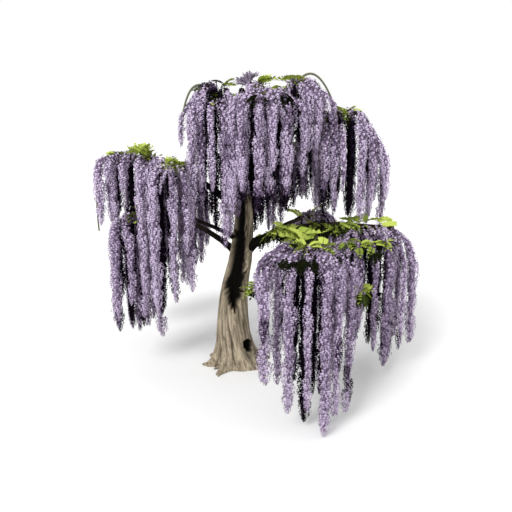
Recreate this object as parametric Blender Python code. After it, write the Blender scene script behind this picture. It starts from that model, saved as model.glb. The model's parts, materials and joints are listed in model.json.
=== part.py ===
"""A weeping wisteria grown as a small tree, in flower.

Units are metres, +Z is up, and the origin is the middle of the flat cut under the trunk, at ground level.
Seen from -Y, the tree's front, +X is to the right. One trunk carries the boughs. Each bough ends where a
mass of foliage begins, and a mass is a stem from which flowering strands arch out and hang down.
"""

import math
from dataclasses import dataclass, field

import bmesh
import bpy
import numpy as np
from mathutils import Vector

# Clearances between neighbouring solids
JOINT_GAP = 0.0004
STRAND_CLEARANCE = 0.012
GROUND_CLEARANCE = 0.02

# Trunk: its foot swells, it sways at the foot and leans to the right above
TRUNK_HEIGHT = 2.5
TRUNK_RADIUS = 0.256
TRUNK_TAPER = 0.063
FOOT_SWELL = 0.06
FOOT_SWELL_HEIGHT = 0.2
LEAN = 0.11
LEAN_FROM, LEAN_TO = 0.9, 2.2
SWAY = 0.05
SWAY_HEIGHT = 1.5
TRUNK_SIDES = 24
RING_HEIGHTS = (0, 0.05, 0.12, 0.22, 0.36, 0.56, 0.82, 0.98, 1.2, 1.5, 1.8, 2.1, 2.34, TRUNK_HEIGHT)

# The hollow cleft up the front of the trunk, and the knot hole above the right root
CLEFT_AZIMUTH = -91
CLEFT_WIDTH = 25
CLEFT_DEPTH = 0.62
CLEFT_FROM, CLEFT_FULL, CLEFT_TO = 0.8, 1.25, 2.45
CLEFT_EASE = 0.1
KNOT_AZIMUTH, KNOT_HEIGHT, KNOT_RADIUS, KNOT_OUT = -40, 0.31, 0.068, 0.27

# Limbs and stems
LIMB_SIDES = 7
LIMB_SEGMENTS = 3
STEM_SIDES = 5
STEM_SEGMENTS = 4
STEM_RADIUS, STEM_TIP_RADIUS = 0.026, 0.013
WHIP_SIDES = 3
WHIP_FROM = 0.9
WHIP_RADIUS, WHIP_TIP_RADIUS = 0.017, 0.011

# Where strands grow. Each further attempt moves a strand's place out and round
GOLDEN_ANGLE = math.pi * (3 - math.sqrt(5))
TRIES = 5
FIRST_PLACE = 0.6
STEP_OUT, STEP_ROUND = 0.05, 0.45
START_BACK, START_LEAST, START_SPREAD = 0.14, 0.22, 0.1
HEM_SPREAD = 0.22
FOOT_SPREAD = 0.03
LEAST_FALL = 0.12
ARCH_POINTS = 9
FALL_POINTS = 9

# The shape of a strand: a bare twig, then tiers of flowers down to a point
STRAND_SIDES = 4
TWIG_RADIUS = 0.009
BUD_RADIUS = 0.022
COLUMN_RADIUS = 0.085
COLUMN_WAIST = 0.75
COLUMN_STEP = 0.38
TIERS_LEAST, TIERS_MOST = 3, 5
BARE_SHARE = 0.6
FREE_START = 0.04
SIZE_LEAST, SIZE_SPREAD = 0.85, 0.3
FILL_START, FILL_RATE = 0.45, 3.5
TAPER_FROM, TAPER, TAPER_POWER = 0.65, 0.8, 1.5

# Leaves
LEAF_LENGTH, LEAF_WIDTH, LEAF_THICKNESS = 0.24, 0.1, 0.012
LEAF_ROOT = 0.01
LEAF_WIDEST, LEAF_ARCH = 0.45, 0.07
LEAVES_FROM, LEAVES_SPAN = 0.14, 0.7
LEAF_RISE, LEAF_RISE_SPREAD = 0.15, 0.9
LEAF_SIZE_LEAST, LEAF_SIZE_SPREAD = 0.8, 0.4
LEAF_SEEDS = 500

# Balls along a path, when its room is checked
LIMB_BALLS, TRUNK_BALLS, STEM_BALLS, STRAND_BALLS, WHIP_BALLS, LEAF_BALLS = 25, 40, 12, 40, 8, 8
FINE_STEPS = 400

# Finishes
TRUNK_COLOUR, BOUGH_COLOUR, BARK_ROUGHNESS = (0.38, 0.31, 0.23), (0.09, 0.06, 0.045), 0.9
BLOSSOM_COLOUR, LEAF_COLOUR, SOFT_ROUGHNESS = (0.36, 0.26, 0.5), (0.3, 0.4, 0.08), 0.7
SHARP_ANGLE = math.radians(40)


@dataclass
class Root:
    """A lobe of the root flare: the way it runs, how far, how high it stands and its width in degrees."""

    azimuth: float
    reach: float
    height: float
    width: float


@dataclass
class Limb:
    """A tapering bough. It leaves its parent at a share of the parent's length, or of the trunk's height.

    The first stretch, the collar, is fused to the parent. A spur is all collar, and its collar is None.
    """

    name: str
    parent: str
    share: float
    bend: tuple
    end: tuple
    radius: float
    tip_radius: float
    collar: float | None


@dataclass
class Mass:
    """A mass of foliage on a limb's tip: its stem, its footprint, its dome and its hem.

    handle     how far the stem runs straight on from the limb before it bends
    tip        the stem's end
    centre     middle of the footprint, x and y
    reach      half its width along x and along y
    crest      height towards which the strands over the centre rise
    drop       how much lower the strands turn down at the footprint's rim
    hem        height of the lowest strand's end, over the point focus
    rise       how much the hem rises per square metre away from focus
    slope      how much the hem rises per metre along x
    turn_down  how far below its crest a strand has come round to hanging straight
    whip       bend and end of a bare shoot from the stem's tip
    """

    name: str
    limb: str
    handle: float
    tip: tuple
    centre: tuple
    reach: tuple
    crest: float
    drop: float
    hem: float
    focus: tuple
    rise: float
    slope: float
    strands: int
    leaves: int
    seed: int
    turn_down: float = 0.3
    leaf_size: float = 1.0
    whip: tuple = ()


ROOTS = (
    Root(193, 0.47, 0.10, 13),
    Root(238, 0.5, 0.09, 11),
    Root(324, 0.40, 0.14, 17),
    Root(18, 0.46, 0.16, 15),
    Root(88, 0.42, 0.12, 15),
    Root(150, 0.42, 0.13, 13),
)

LIMBS = (
    Limb("bough_low_left", "trunk", 0.71, (-0.35, 0.1, 2.02), (-1.06, -0.04, 2.27), 0.045, 0.028, 0.3),
    Limb("bough_high_left", "trunk", 0.91, (-0.35, 0.04, 2.52), (-1.02, 0.08, 2.86), 0.042, 0.026, 0.3),
    Limb("bough_mid_left", "bough_high_left", 0.42,
         (-0.5, -0.16, 2.68), (-0.6, -0.28, 2.76), 0.027, 0.022, 0.12),
    Limb("bough_right", "trunk", 0.66, (0.34, -0.02, 1.84), (0.62, -0.34, 2.01), 0.06, 0.05, 0.28),
    Limb("bough_right_front", "bough_right", 0.97,
         (0.74, -0.52, 2.06), (0.76, -0.84, 2.02), 0.042, 0.028, 0.13),
    Limb("bough_right_far", "bough_right", 0.97, (0.98, -0.4, 2.1), (1.38, -0.24, 2.07), 0.04, 0.028, 0.13),
    Limb("bough_top_left", "trunk", 0.96, (0.0, -0.08, 3.0), (-0.1, -0.14, 3.5), 0.05, 0.028, 0.3),
    Limb("bough_top_front", "trunk", 0.96, (0.2, -0.26, 2.95), (0.28, -0.42, 3.45), 0.048, 0.028, 0.3),
    Limb("bough_top_right", "trunk", 0.96, (0.38, -0.02, 2.95), (0.66, -0.06, 3.52), 0.05, 0.028, 0.3),
    Limb("bough_top_back", "trunk", 0.96, (0.12, 0.3, 2.95), (0.16, 0.52, 3.34), 0.046, 0.028, 0.3),
    Limb("bough_top_middle", "trunk", 0.97, (0.16, 0.03, 3.0), (0.2, 0.04, 3.42), 0.044, 0.026, 0.3),
    Limb("bough_far_right", "bough_top_right", 0.5,
         (0.8, 0.06, 3.28), (1.12, 0.05, 3.42), 0.028, 0.023, 0.16),
    Limb("bough_back_left", "trunk", 0.83, (-0.2, 0.5, 2.35), (-0.62, 0.84, 2.52), 0.042, 0.028, 0.3),
    Limb("bough_back_left_low", "trunk", 0.63, (-0.42, 0.62, 1.86), (-1.12, 1.12, 2.0), 0.046, 0.028, 0.32),
    Limb("bough_back_right_low", "trunk", 0.61, (0.42, 0.45, 1.84), (0.86, 0.8, 1.92), 0.046, 0.028, 0.3),
    Limb("bough_back_right", "trunk", 0.87, (0.4, 0.42, 2.62), (0.76, 0.78, 2.94), 0.042, 0.028, 0.3),
    Limb("bough_inner_right", "trunk", 0.93, (0.36, 0.26, 2.72), (0.52, 0.42, 2.86), 0.036, 0.026, 0.3),
    Limb("spur", "trunk", 0.43, (0.12, -0.09, 1.1), (0.21, -0.16, 1.12), 0.024, 0.016, None),
)

MASSES = (
    Mass("mass_top_left", "bough_top_left", 0.12, (-0.34, -0.2, 3.79), (-0.25, -0.22), (0.43, 0.44),
         4.02, 0.41, 1.79, (-0.06, -0.5), 1.61, -0.34, 12, 3, 11,
         whip=((-0.6, -0.3, 4.04), (-0.68, -0.3, 3.2))),
    Mass("mass_top_middle", "bough_top_middle", 0.12, (0.18, -0.08, 3.84), (0.19, 0.02), (0.3, 0.28),
         4.02, 0.14, 2.96, (0.36, 0.0), 1.07, -0.08, 6, 6, 61),
    Mass("mass_top_front", "bough_top_front", 0.1, (0.38, -0.62, 3.74), (0.36, -0.66), (0.41, 0.36),
         3.9, 0.12, 2.26, (0.41, -0.8), 0.39, 0.02, 12, 4, 82),
    Mass("mass_top_right", "bough_top_right", 0.1, (0.77, -0.14, 3.86), (0.84, -0.16), (0.33, 0.42),
         4.04, 0.15, 2.68, (0.92, 0.1), 0.98, -0.18, 10, 5, 93,
         whip=((1.02, -0.12, 4.24), (1.3, -0.1, 3.5))),
    Mass("mass_upper_right", "bough_far_right", 0.12, (1.64, 0.0, 3.5), (1.44, 0.0), (0.54, 0.46),
         3.66, 0.52, 1.98, (1.91, -0.05), 0.05, -0.2, 12, 3, 70),
    Mass("mass_low_front", "bough_right_front", 0.12, (0.92, -1.7, 2.02), (0.79, -1.62), (0.55, 0.5),
         2.18, 0.11, -0.12, (1.05, -2.1), 1.1, -0.14, 13, 8, 59),
    Mass("mass_low_right", "bough_right_far", 0.12, (2.12, -0.08, 2.0), (1.8, -0.16), (0.61, 0.48),
         2.08, 0.25, 0.23, (1.79, -0.4), 1.75, -0.8, 13, 9, 55),
    Mass("mass_mid_left", "bough_mid_left", 0.08, (-0.78, -0.6, 2.86), (-0.82, -0.42), (0.47, 0.34),
         3.09, 0.18, 0.91, (-0.93, -0.6), 0.78, 0.36, 10, 4, 77),
    Mass("mass_low_left", "bough_low_left", 0.12, (-1.6, -0.34, 2.02), (-1.33, -0.3), (0.36, 0.38),
         2.28, 0.14, 0.38, (-1.01, -0.3), 0.65, -0.11, 11, 3, 98),
    Mass("mass_upper_left", "bough_high_left", 0.14, (-1.6, 0.04, 2.92), (-1.45, 0.06), (0.42, 0.42),
         3.07, 0.13, 1.94, (-1.47, 0.0), 0.45, -0.05, 12, 5, 70,
         turn_down=0.2, whip=((-1.92, 0.0, 3.1), (-1.86, 0.0, 1.93))),
    Mass("mass_top_back", "bough_top_back", 0.1, (0.2, 0.82, 3.6), (0.2, 0.78), (0.5, 0.38),
         3.78, 0.36, 1.62, (0.5, 0.9), 1.5, 0.0, 9, 4, 20),
    Mass("mass_back_right", "bough_back_right", 0.1, (1.08, 0.94, 3.04), (1.02, 0.98), (0.4, 0.42),
         3.2, 0.34, 2.1, (1.1, 1.0), 0.8, 0.0, 8, 4, 21),
    Mass("mass_back_right_low", "bough_back_right_low", 0.12, (1.24, 1.2, 1.94), (1.2, 1.14), (0.42, 0.5),
         2.14, 0.22, 0.42, (1.1, 1.4), 1.3, 0.0, 9, 4, 22),
    Mass("mass_back_left", "bough_back_left", 0.12, (-0.9, 1.02, 2.62), (-0.86, 1.0), (0.4, 0.42),
         2.8, 0.3, 1.02, (-0.9, 1.1), 1.4, 0.0, 8, 4, 23),
    Mass("mass_inner_right", "bough_inner_right", 0.1, (0.66, 0.5, 3.0), (0.64, 0.5), (0.28, 0.26),
         3.12, 0.24, 2.08, (0.6, 0.4), 1.0, 0.0, 5, 2, 26),
    Mass("mass_back_left_low", "bough_back_left_low", 0.12, (-1.56, 1.3, 1.96), (-1.56, 1.26), (0.42, 0.46),
         2.16, 0.28, 0.42, (-1.5, 1.3), 1.4, 0.0, 8, 4, 24),
    Mass("trunk_sprout", "spur", 0.03, (0.28, -0.24, 1.22), (0, 0), (0, 0),
         0, 0, 0, (0, 0), 0, 0, 0, 8, 25, leaf_size=0.6),
)


@dataclass
class Taken:
    """The room that is already in use, as balls, each with the name of the node that it belongs to."""

    centres: np.ndarray = field(default_factory=lambda: np.zeros((0, 3)))
    radii: np.ndarray = field(default_factory=lambda: np.zeros(0))
    owners: np.ndarray = field(default_factory=lambda: np.zeros(0, dtype="<U40"))

    def add(self, points, radii, owner):
        """Adds the balls along a path."""
        self.centres = np.vstack([self.centres, points])
        self.radii = np.concatenate([self.radii, radii])
        self.owners = np.concatenate([self.owners, np.full(len(points), owner)])

    def is_clear(self, points, radii, owner):
        """Whether balls along a path stay clear of every other node."""
        others = self.owners != owner
        apart = np.linalg.norm(points[:, None] - self.centres[None, others], axis=2)
        room = apart - radii[:, None] - self.radii[None, others]
        return room.size == 0 or float(room.min()) > STRAND_CLEARANCE


def smoothstep(low, high, value):
    """0 below low, 1 above high, and a smooth step between."""
    share = np.clip((value - low) / (high - low), 0, 1)
    return share * share * (3 - 2 * share)


def bezier(start, bend, end, shares):
    """Points of a quadratic curve from start to end that heads for bend first."""
    t = np.asarray(shares, float)[:, None]
    start, bend, end = (np.asarray(p, float) for p in (start, bend, end))
    return (1 - t) ** 2 * start + 2 * t * (1 - t) * bend + t**2 * end


def bezier_tangents(start, bend, end, shares):
    """Directions of the same curve at the same shares."""
    t = np.asarray(shares, float)[:, None]
    return (1 - t) * (bend - start) + t * (end - bend)


def unit(vector):
    """The vector at length 1."""
    return vector / np.linalg.norm(vector)


def trunk_axis(height):
    """Middle of the trunk at a height: a slight sway at the foot, then a lean to the right."""
    height = np.asarray(height, float)
    sway = SWAY * np.sin(math.pi * np.minimum(height, SWAY_HEIGHT) / SWAY_HEIGHT)
    lean = LEAN * smoothstep(LEAN_FROM, LEAN_TO, height)
    return np.stack([lean - sway, 0 * height, height], axis=-1)


def trunk_radius(azimuth, height):
    """Distance from the trunk's axis to its bark: taper and swell, plus root lobes, less the cleft."""
    plain = TRUNK_RADIUS - TRUNK_TAPER * height + FOOT_SWELL * np.exp(-height / FOOT_SWELL_HEIGHT)
    foot = TRUNK_RADIUS + FOOT_SWELL
    lobes = sum(
        (root.reach - foot) * bell(azimuth, root.azimuth, root.width) * np.exp(-height / root.height)
        for root in ROOTS
    )
    closing = smoothstep(CLEFT_TO - CLEFT_EASE, CLEFT_TO, height)
    opening = smoothstep(CLEFT_FROM, CLEFT_FULL, height) * (1 - closing)
    cleft = CLEFT_DEPTH * opening * bell(azimuth, CLEFT_AZIMUTH, CLEFT_WIDTH)
    return (plain + lobes) * (1 - cleft)


def bell(azimuth, middle, width):
    """A bump of height 1 round the middle azimuth. Azimuth is in radians, middle and width in degrees."""
    away = (np.degrees(azimuth) - middle + 180) % 360 - 180
    return np.exp(-((away / width) ** 2))


def new_object(name, points, faces):
    """A mesh object in the scene, from points and faces."""
    mesh = bpy.data.meshes.new(name)
    mesh.from_pydata([tuple(p) for p in points], [], faces)
    mesh.validate()
    obj = bpy.data.objects.new(name, mesh)
    bpy.context.scene.collection.objects.link(obj)
    return obj


def ring_faces(rings, sides, pointed=False):
    """Triangles between successive rings of points, flat at the start and with a cap or point at the end."""
    faces = []
    for i in range(rings - 1):
        for j in range(sides):
            near, near_next = i * sides + j, i * sides + (j + 1) % sides
            far, far_next = near + sides, near_next + sides
            faces += [(near, near_next, far), (near_next, far_next, far)]
    last = (rings - 1) * sides
    faces.append(tuple(reversed(range(sides))))
    if pointed:
        faces += [(last + j, last + (j + 1) % sides, last + sides) for j in range(sides)]
    else:
        faces.append(tuple(range(last, last + sides)))
    return faces


def tube(name, path, radii, sides, tangents=None, twist=0.0):
    """A closed tube along a path. Each ring is turned by twist, as a share of one side, from the last.

    Where the last radius is 0, the tube ends in a point.
    """
    if tangents is None:
        tangents = np.gradient(path, axis=0)
    pointed = radii[-1] == 0
    across = unit(np.cross(tangents[0], (0.31, 0.93, 0.17)))
    points = []
    rings = len(path) - pointed
    for i, (middle, radius) in enumerate(zip(path[:rings], radii)):
        along = unit(tangents[i])
        across = unit(across - along * (across @ along))
        other = np.cross(along, across)
        for j in range(sides):
            angle = 2 * math.pi * (j + twist * i) / sides
            points.append(middle + radius * (math.cos(angle) * across + math.sin(angle) * other))
    if pointed:
        points.append(path[-1])
    return new_object(name, points, ring_faces(rings, sides, pointed))


def join(base, pieces):
    """Fuses the pieces into the base with one Boolean union, and removes them."""
    group = bpy.data.collections.new(base.name + "_pieces")
    bpy.context.scene.collection.children.link(group)
    for piece in pieces:
        bpy.context.scene.collection.objects.unlink(piece)
        group.objects.link(piece)
    fuse = base.modifiers.new("fuse", "BOOLEAN")
    fuse.operation = "UNION"
    fuse.operand_type = "COLLECTION"
    fuse.collection = group
    fuse.solver = "MANIFOLD"
    apply_modifiers(base)
    for piece in pieces:
        bpy.data.objects.remove(piece)
    bpy.data.collections.remove(group)


def apply_modifiers(obj):
    """Keeps the mesh that the object's modifiers make, and removes them."""
    graph = bpy.context.evaluated_depsgraph_get()
    made = bpy.data.meshes.new_from_object(obj.evaluated_get(graph))
    obj.modifiers.clear()
    obj.data = made


def keep_outer_shell(obj):
    """Drops loose scraps and the walls of hollows that the fusing sealed in, which fills the hollows."""
    mesh = bmesh.new()
    mesh.from_mesh(obj.data)
    shells = []
    seen = set()
    for first in mesh.faces:
        if first in seen:
            continue
        seen.add(first)
        shell = [first]
        for face in shell:
            near = [other for edge in face.edges for other in edge.link_faces if other not in seen]
            seen.update(near)
            shell.extend(dict.fromkeys(near))
        shells.append(shell)
    outer = max(shells, key=len)
    spare = [face for shell in shells if shell is not outer for face in shell]
    bmesh.ops.delete(mesh, geom=spare, context="FACES")
    bmesh.ops.triangulate(mesh, faces=mesh.faces)
    mesh.to_mesh(obj.data)
    mesh.free()


def finish(obj, colour, roughness):
    """Gives the object smooth shading and a plain finish of its own."""
    made = bpy.data.materials.new(obj.name)
    made.use_nodes = True
    shader = made.node_tree.nodes["Principled BSDF"]
    shader.inputs["Base Color"].default_value = (*colour, 1)
    shader.inputs["Roughness"].default_value = roughness
    obj.data.materials.clear()
    obj.data.materials.append(made)
    obj.data.shade_smooth()
    obj.data.set_sharp_from_angle(angle=SHARP_ANGLE)


def limb_curve(limb, curves):
    """Start, bend and end of a limb's curve."""
    if limb.parent == "trunk":
        start = trunk_axis(limb.share * TRUNK_HEIGHT)
    else:
        start = bezier(*curves[limb.parent], [limb.share])[0]
    return start, np.array(limb.bend), np.array(limb.end)


def limb_path(curve, limb, low, high, segments):
    """Points, radii and tangents of a limb between two distances along it. It tapers evenly."""
    fine = np.linspace(0, 1, FINE_STEPS + 1)
    along = np.concatenate([[0], np.cumsum(np.linalg.norm(np.diff(bezier(*curve, fine), axis=0), axis=1))])
    wanted = np.linspace(low, along[-1] if high is None else high, segments + 1)
    shares = np.interp(wanted, along, fine)
    radii = limb.radius + (limb.tip_radius - limb.radius) * wanted / along[-1]
    return bezier(*curve, shares), radii, bezier_tangents(*curve, shares)


def trunk_blank():
    """The trunk as stacked level rings of points, before its collars and knot hole."""
    azimuths = np.arange(TRUNK_SIDES) * 2 * math.pi / TRUNK_SIDES
    rings = []
    for height in RING_HEIGHTS:
        radii = trunk_radius(azimuths, height)
        outward = np.stack([np.cos(azimuths), np.sin(azimuths), 0 * azimuths], axis=1)
        rings.append(trunk_axis(height) + radii[:, None] * outward)
    return new_object("trunk", np.vstack(rings), ring_faces(len(RING_HEIGHTS), TRUNK_SIDES))


def knot_hole():
    """The cutter for the knot hole."""
    azimuth = math.radians(KNOT_AZIMUTH)
    place = Vector((KNOT_OUT * math.cos(azimuth), KNOT_OUT * math.sin(azimuth), KNOT_HEIGHT))
    mesh = bpy.data.meshes.new("knot_hole")
    ball = bmesh.new()
    bmesh.ops.create_icosphere(ball, subdivisions=2, radius=KNOT_RADIUS)
    bmesh.ops.translate(ball, verts=ball.verts, vec=place)
    ball.to_mesh(mesh)
    ball.free()
    cutter = bpy.data.objects.new("knot_hole", mesh)
    bpy.context.scene.collection.objects.link(cutter)
    cutter.hide_render = True
    cutter.display_type = "WIRE"
    return cutter


def grow_limbs(taken):
    """Builds the trunk and every bough. Returns each limb's curve."""
    curves = {limb.name: None for limb in LIMBS}
    collars = {"trunk": []} | {limb.name: [] for limb in LIMBS}
    solids = {"trunk": trunk_blank()}
    for limb in LIMBS:
        curves[limb.name] = limb_curve(limb, curves)
        curve = curves[limb.name]
        points, radii, tangents = limb_path(curve, limb, 0, limb.collar, 1)
        collars[limb.parent].append(tube(limb.name + "_collar", points, radii, LIMB_SIDES, tangents))
        if limb.collar:
            points, radii, tangents = limb_path(curve, limb, limb.collar + JOINT_GAP, None, LIMB_SEGMENTS)
            solids[limb.name] = tube(limb.name, points, radii, LIMB_SIDES, tangents)
        points, radii, _ = limb_path(curve, limb, 0, None, LIMB_BALLS - 1)
        taken.add(points, radii, limb.name)
    heights = np.linspace(0, TRUNK_HEIGHT, TRUNK_BALLS)
    taken.add(trunk_axis(heights), trunk_radius(math.pi / 2, heights), "trunk")
    for name, pieces in collars.items():
        if pieces:
            join(solids[name], pieces)
    cutter = knot_hole()
    cut = solids["trunk"].modifiers.new("knot_hole", "BOOLEAN")
    cut.operation = "DIFFERENCE"
    cut.object = cutter
    cut.solver = "EXACT"
    for name, solid in solids.items():
        finish(solid, TRUNK_COLOUR if name == "trunk" else BOUGH_COLOUR, BARK_ROUGHNESS)
    return curves


def stem_curve(mass, curves):
    """Start, bend and end of a mass's stem, which runs straight on from its limb."""
    _, bend, end = curves[mass.limb]
    ahead = unit(end - bend)
    start = end + ahead * JOINT_GAP
    return start, start + ahead * mass.handle, np.array(mass.tip)


def strand_curve(mass, stem, number, attempt, draws):
    """Path of one strand: it arches out from the stem, turns down over its place and falls to the hem.

    Places follow a sunflower's rule, so that the strands fill the footprint evenly. Each further attempt
    moves the strand round and out.
    """
    share = min(math.sqrt((number + FIRST_PLACE) / mass.strands) + STEP_OUT * attempt, 1)
    angle = number * GOLDEN_ANGLE + mass.seed + STEP_ROUND * attempt
    place = np.array(mass.centre) + share * np.array(mass.reach) * (math.cos(angle), math.sin(angle))
    shares = np.linspace(0.3, 1, 29)
    nearest = shares[np.argmin(np.linalg.norm(bezier(*stem, shares)[:, :2] - place, axis=1))]
    start = bezier(*stem, [max(nearest - START_BACK, START_LEAST) + START_SPREAD * draws[2]])[0]
    top = mass.crest - mass.drop * share**2
    away = place - np.array(mass.focus)
    hem = mass.hem + mass.rise * float(away @ away) + mass.slope * away[0] + HEM_SPREAD * draws[0] ** 2
    shoulder = np.array([*place, top - mass.turn_down])
    foot = np.array([*(place + FOOT_SPREAD * (draws[1:3] - 0.5)), max(hem, GROUND_CLEARANCE)])
    arch = bezier(start, (*place, top), shoulder, np.linspace(0, 1, ARCH_POINTS))
    fall = shoulder + np.linspace(0, 1, FALL_POINTS)[1:, None] * (foot - shoulder)
    return np.vstack([arch, fall])


def strand_fullness(share):
    """Width of the flowers at a share of a strand's flowering length: quick to fill, then a long taper."""
    taper = TAPER * np.clip((share - TAPER_FROM) / (1 - TAPER_FROM), 0, 1) ** TAPER_POWER
    return np.minimum(FILL_START + FILL_RATE * share, 1) * (1 - taper)


def resample(path, wanted):
    """Points at the wanted distances along a path."""
    along = np.concatenate([[0], np.cumsum(np.linalg.norm(np.diff(path, axis=0), axis=1))])
    return np.stack([np.interp(wanted, along, path[:, k]) for k in range(3)], axis=1)


def path_length(path):
    """Length of a path of points."""
    return float(np.linalg.norm(np.diff(path, axis=0), axis=1).sum())


def strand(mass, stem, path, draws, taken):
    """One flowering strand as a twig that swells into tiers of flowers, or None where there is no room."""
    length = path_length(path)
    bare = BARE_SHARE * path_length(path[:ARCH_POINTS])
    bloom = length - bare
    if path[-1][2] > path[ARCH_POINTS - 1][2] - LEAST_FALL:
        return None
    tiers = int(np.clip(round(bloom / COLUMN_STEP), TIERS_LEAST, TIERS_MOST))
    wanted = np.concatenate([[0, bare / 2], np.linspace(bare, length, tiers + 1)])
    points = resample(path, wanted)
    size = COLUMN_RADIUS * (SIZE_LEAST + SIZE_SPREAD * draws[3])
    radii = np.concatenate([[TWIG_RADIUS] * 2, size * strand_fullness(np.linspace(0, 1, tiers + 1))])
    radii[2] = BUD_RADIUS
    radii[4::2] *= COLUMN_WAIST
    radii[-1] = 0
    checked = np.linspace(FREE_START, length, STRAND_BALLS)
    centres = np.stack([np.interp(checked, wanted, points[:, k]) for k in range(3)], axis=1)
    reach = np.interp(checked, wanted, radii)
    if not taken.is_clear(centres, reach, mass.name):
        return None
    taken.add(centres, reach, mass.name)
    return tube(f"{mass.name}_strand", points, radii, STRAND_SIDES, twist=0.5)


def leaf(name, root, ahead, size):
    """One compound leaf as a slim eight-faced blade that arches from its root, which is sunk in the stem."""
    ahead = unit(ahead)
    side = unit(np.cross((0, 0, 1), ahead))
    up = np.cross(ahead, side)
    length, width = size * LEAF_LENGTH, size * LEAF_WIDTH
    middle = root + ahead * length * LEAF_WIDEST + up * length * LEAF_ARCH
    points = [
        root - ahead * LEAF_ROOT,
        middle + side * width / 2,
        middle - side * width / 2,
        middle + up * LEAF_THICKNESS / 2,
        middle - up * LEAF_THICKNESS / 2,
        root + ahead * length,
    ]
    faces = [(0, 1, 4), (0, 3, 1), (0, 2, 3), (0, 4, 2), (5, 4, 1), (5, 1, 3), (5, 3, 2), (5, 2, 4)]
    return new_object(name, points, faces)


def strands(mass, stem, taken):
    """The strands of a mass. One that has no room tries again further round, and is left out at last."""
    draws = np.random.default_rng(mass.seed).random((mass.strands, 4))
    made = []
    for number in range(mass.strands):
        for attempt in range(TRIES):
            path = strand_curve(mass, stem, number, attempt, draws[number])
            piece = strand(mass, stem, path, draws[number], taken)
            if piece:
                made.append(piece)
                break
    return made


def whip(mass, stem, taken):
    """The bare shoot that arches out of a mass, if it has one."""
    if not mass.whip:
        return []
    shares = np.linspace(0, 1, WHIP_BALLS)
    start = bezier(*stem, [WHIP_FROM])[0]
    points = bezier(start, *mass.whip, shares)
    radii = WHIP_RADIUS + (WHIP_TIP_RADIUS - WHIP_RADIUS) * shares
    taken.add(points, radii, mass.name)
    return [tube(f"{mass.name}_whip", points, radii, WHIP_SIDES)]


def leaves(mass, stem, taken):
    """The leaves round the first two thirds of a stem, those that have room."""
    draws = np.random.default_rng(mass.seed + LEAF_SEEDS).random((mass.leaves, 3))
    made = []
    for number in range(mass.leaves):
        share = LEAVES_FROM + LEAVES_SPAN * (number + draws[number, 0]) / mass.leaves
        root = bezier(*stem, [share])[0]
        angle = number * GOLDEN_ANGLE
        rise = LEAF_RISE + LEAF_RISE_SPREAD * draws[number, 1]
        ahead = np.array([math.cos(angle), math.sin(angle), rise])
        size = mass.leaf_size * (LEAF_SIZE_LEAST + LEAF_SIZE_SPREAD * draws[number, 2])
        reach = root + unit(ahead) * size * LEAF_LENGTH * np.linspace(0.2, 1, LEAF_BALLS)[:, None]
        girth = np.full(LEAF_BALLS, size * LEAF_WIDTH / 2)
        if taken.is_clear(reach, girth, mass.name):
            taken.add(reach, girth, mass.name)
            made.append(leaf(f"{mass.name}_leaf", root, ahead, size))
    return made


def grow_masses(curves, taken):
    """Builds every mass of foliage, each fused into one solid."""
    stems = {mass.name: stem_curve(mass, curves) for mass in MASSES}
    for mass in MASSES:
        points = bezier(*stems[mass.name], np.linspace(0, 1, STEM_BALLS))
        taken.add(points, np.linspace(STEM_RADIUS, STEM_TIP_RADIUS, STEM_BALLS), mass.name)
    for mass in MASSES:
        stem = stems[mass.name]
        shares = np.linspace(0, 1, STEM_SEGMENTS + 1)
        radii = np.linspace(STEM_RADIUS, STEM_TIP_RADIUS, STEM_SEGMENTS + 1)
        points, tangents = bezier(*stem, shares), bezier_tangents(*stem, shares)
        solid = tube(mass.name, points, radii, STEM_SIDES, tangents)
        join(solid, strands(mass, stem, taken) + whip(mass, stem, taken) + leaves(mass, stem, taken))
        keep_outer_shell(solid)
        finish(solid, BLOSSOM_COLOUR if mass.strands else LEAF_COLOUR, SOFT_ROUGHNESS)


def main():
    for obj in list(bpy.data.objects):
        bpy.data.objects.remove(obj)
    taken = Taken()
    curves = grow_limbs(taken)
    grow_masses(curves, taken)


main()
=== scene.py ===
"""A weeping wisteria in full flower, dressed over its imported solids.

Units are metres, +Z is up, the origin is the middle of the trunk's foot and -Y is the tree's front. The
growth rule is the one that the solids were made by, written again here, so that each chain of flowers hangs
in its solid's place. It is carried on to racemes of florets, compound leaves, twigs and bark.
"""

import json
import logging
import math
from dataclasses import dataclass, field, fields
from enum import Enum
from typing import TypeVar

import bpy
import numpy as np
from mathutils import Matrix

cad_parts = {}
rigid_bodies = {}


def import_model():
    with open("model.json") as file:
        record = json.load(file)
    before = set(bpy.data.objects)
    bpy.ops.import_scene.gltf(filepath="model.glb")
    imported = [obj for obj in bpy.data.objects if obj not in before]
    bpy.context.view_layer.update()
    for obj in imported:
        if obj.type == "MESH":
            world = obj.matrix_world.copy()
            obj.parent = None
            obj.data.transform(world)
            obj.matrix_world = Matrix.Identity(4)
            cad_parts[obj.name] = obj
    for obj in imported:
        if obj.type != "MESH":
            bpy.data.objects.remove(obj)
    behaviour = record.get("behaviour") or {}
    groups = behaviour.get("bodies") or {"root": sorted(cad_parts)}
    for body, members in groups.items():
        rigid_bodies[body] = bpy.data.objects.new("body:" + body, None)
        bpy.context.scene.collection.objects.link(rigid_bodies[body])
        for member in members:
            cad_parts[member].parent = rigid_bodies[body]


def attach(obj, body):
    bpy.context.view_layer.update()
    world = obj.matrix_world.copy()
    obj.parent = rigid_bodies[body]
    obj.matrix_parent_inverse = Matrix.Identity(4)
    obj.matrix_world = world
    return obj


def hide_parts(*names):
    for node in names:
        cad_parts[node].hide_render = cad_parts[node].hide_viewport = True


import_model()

Material = bpy.types.Material
Node = bpy.types.Node
Object = bpy.types.Object
Socket = bpy.types.NodeSocket
Tree = bpy.types.NodeTree
Array = np.ndarray
Pair = tuple[float, float]
Triple = tuple[float, float, float]
Curve = tuple[Array, Array, Array]
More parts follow.
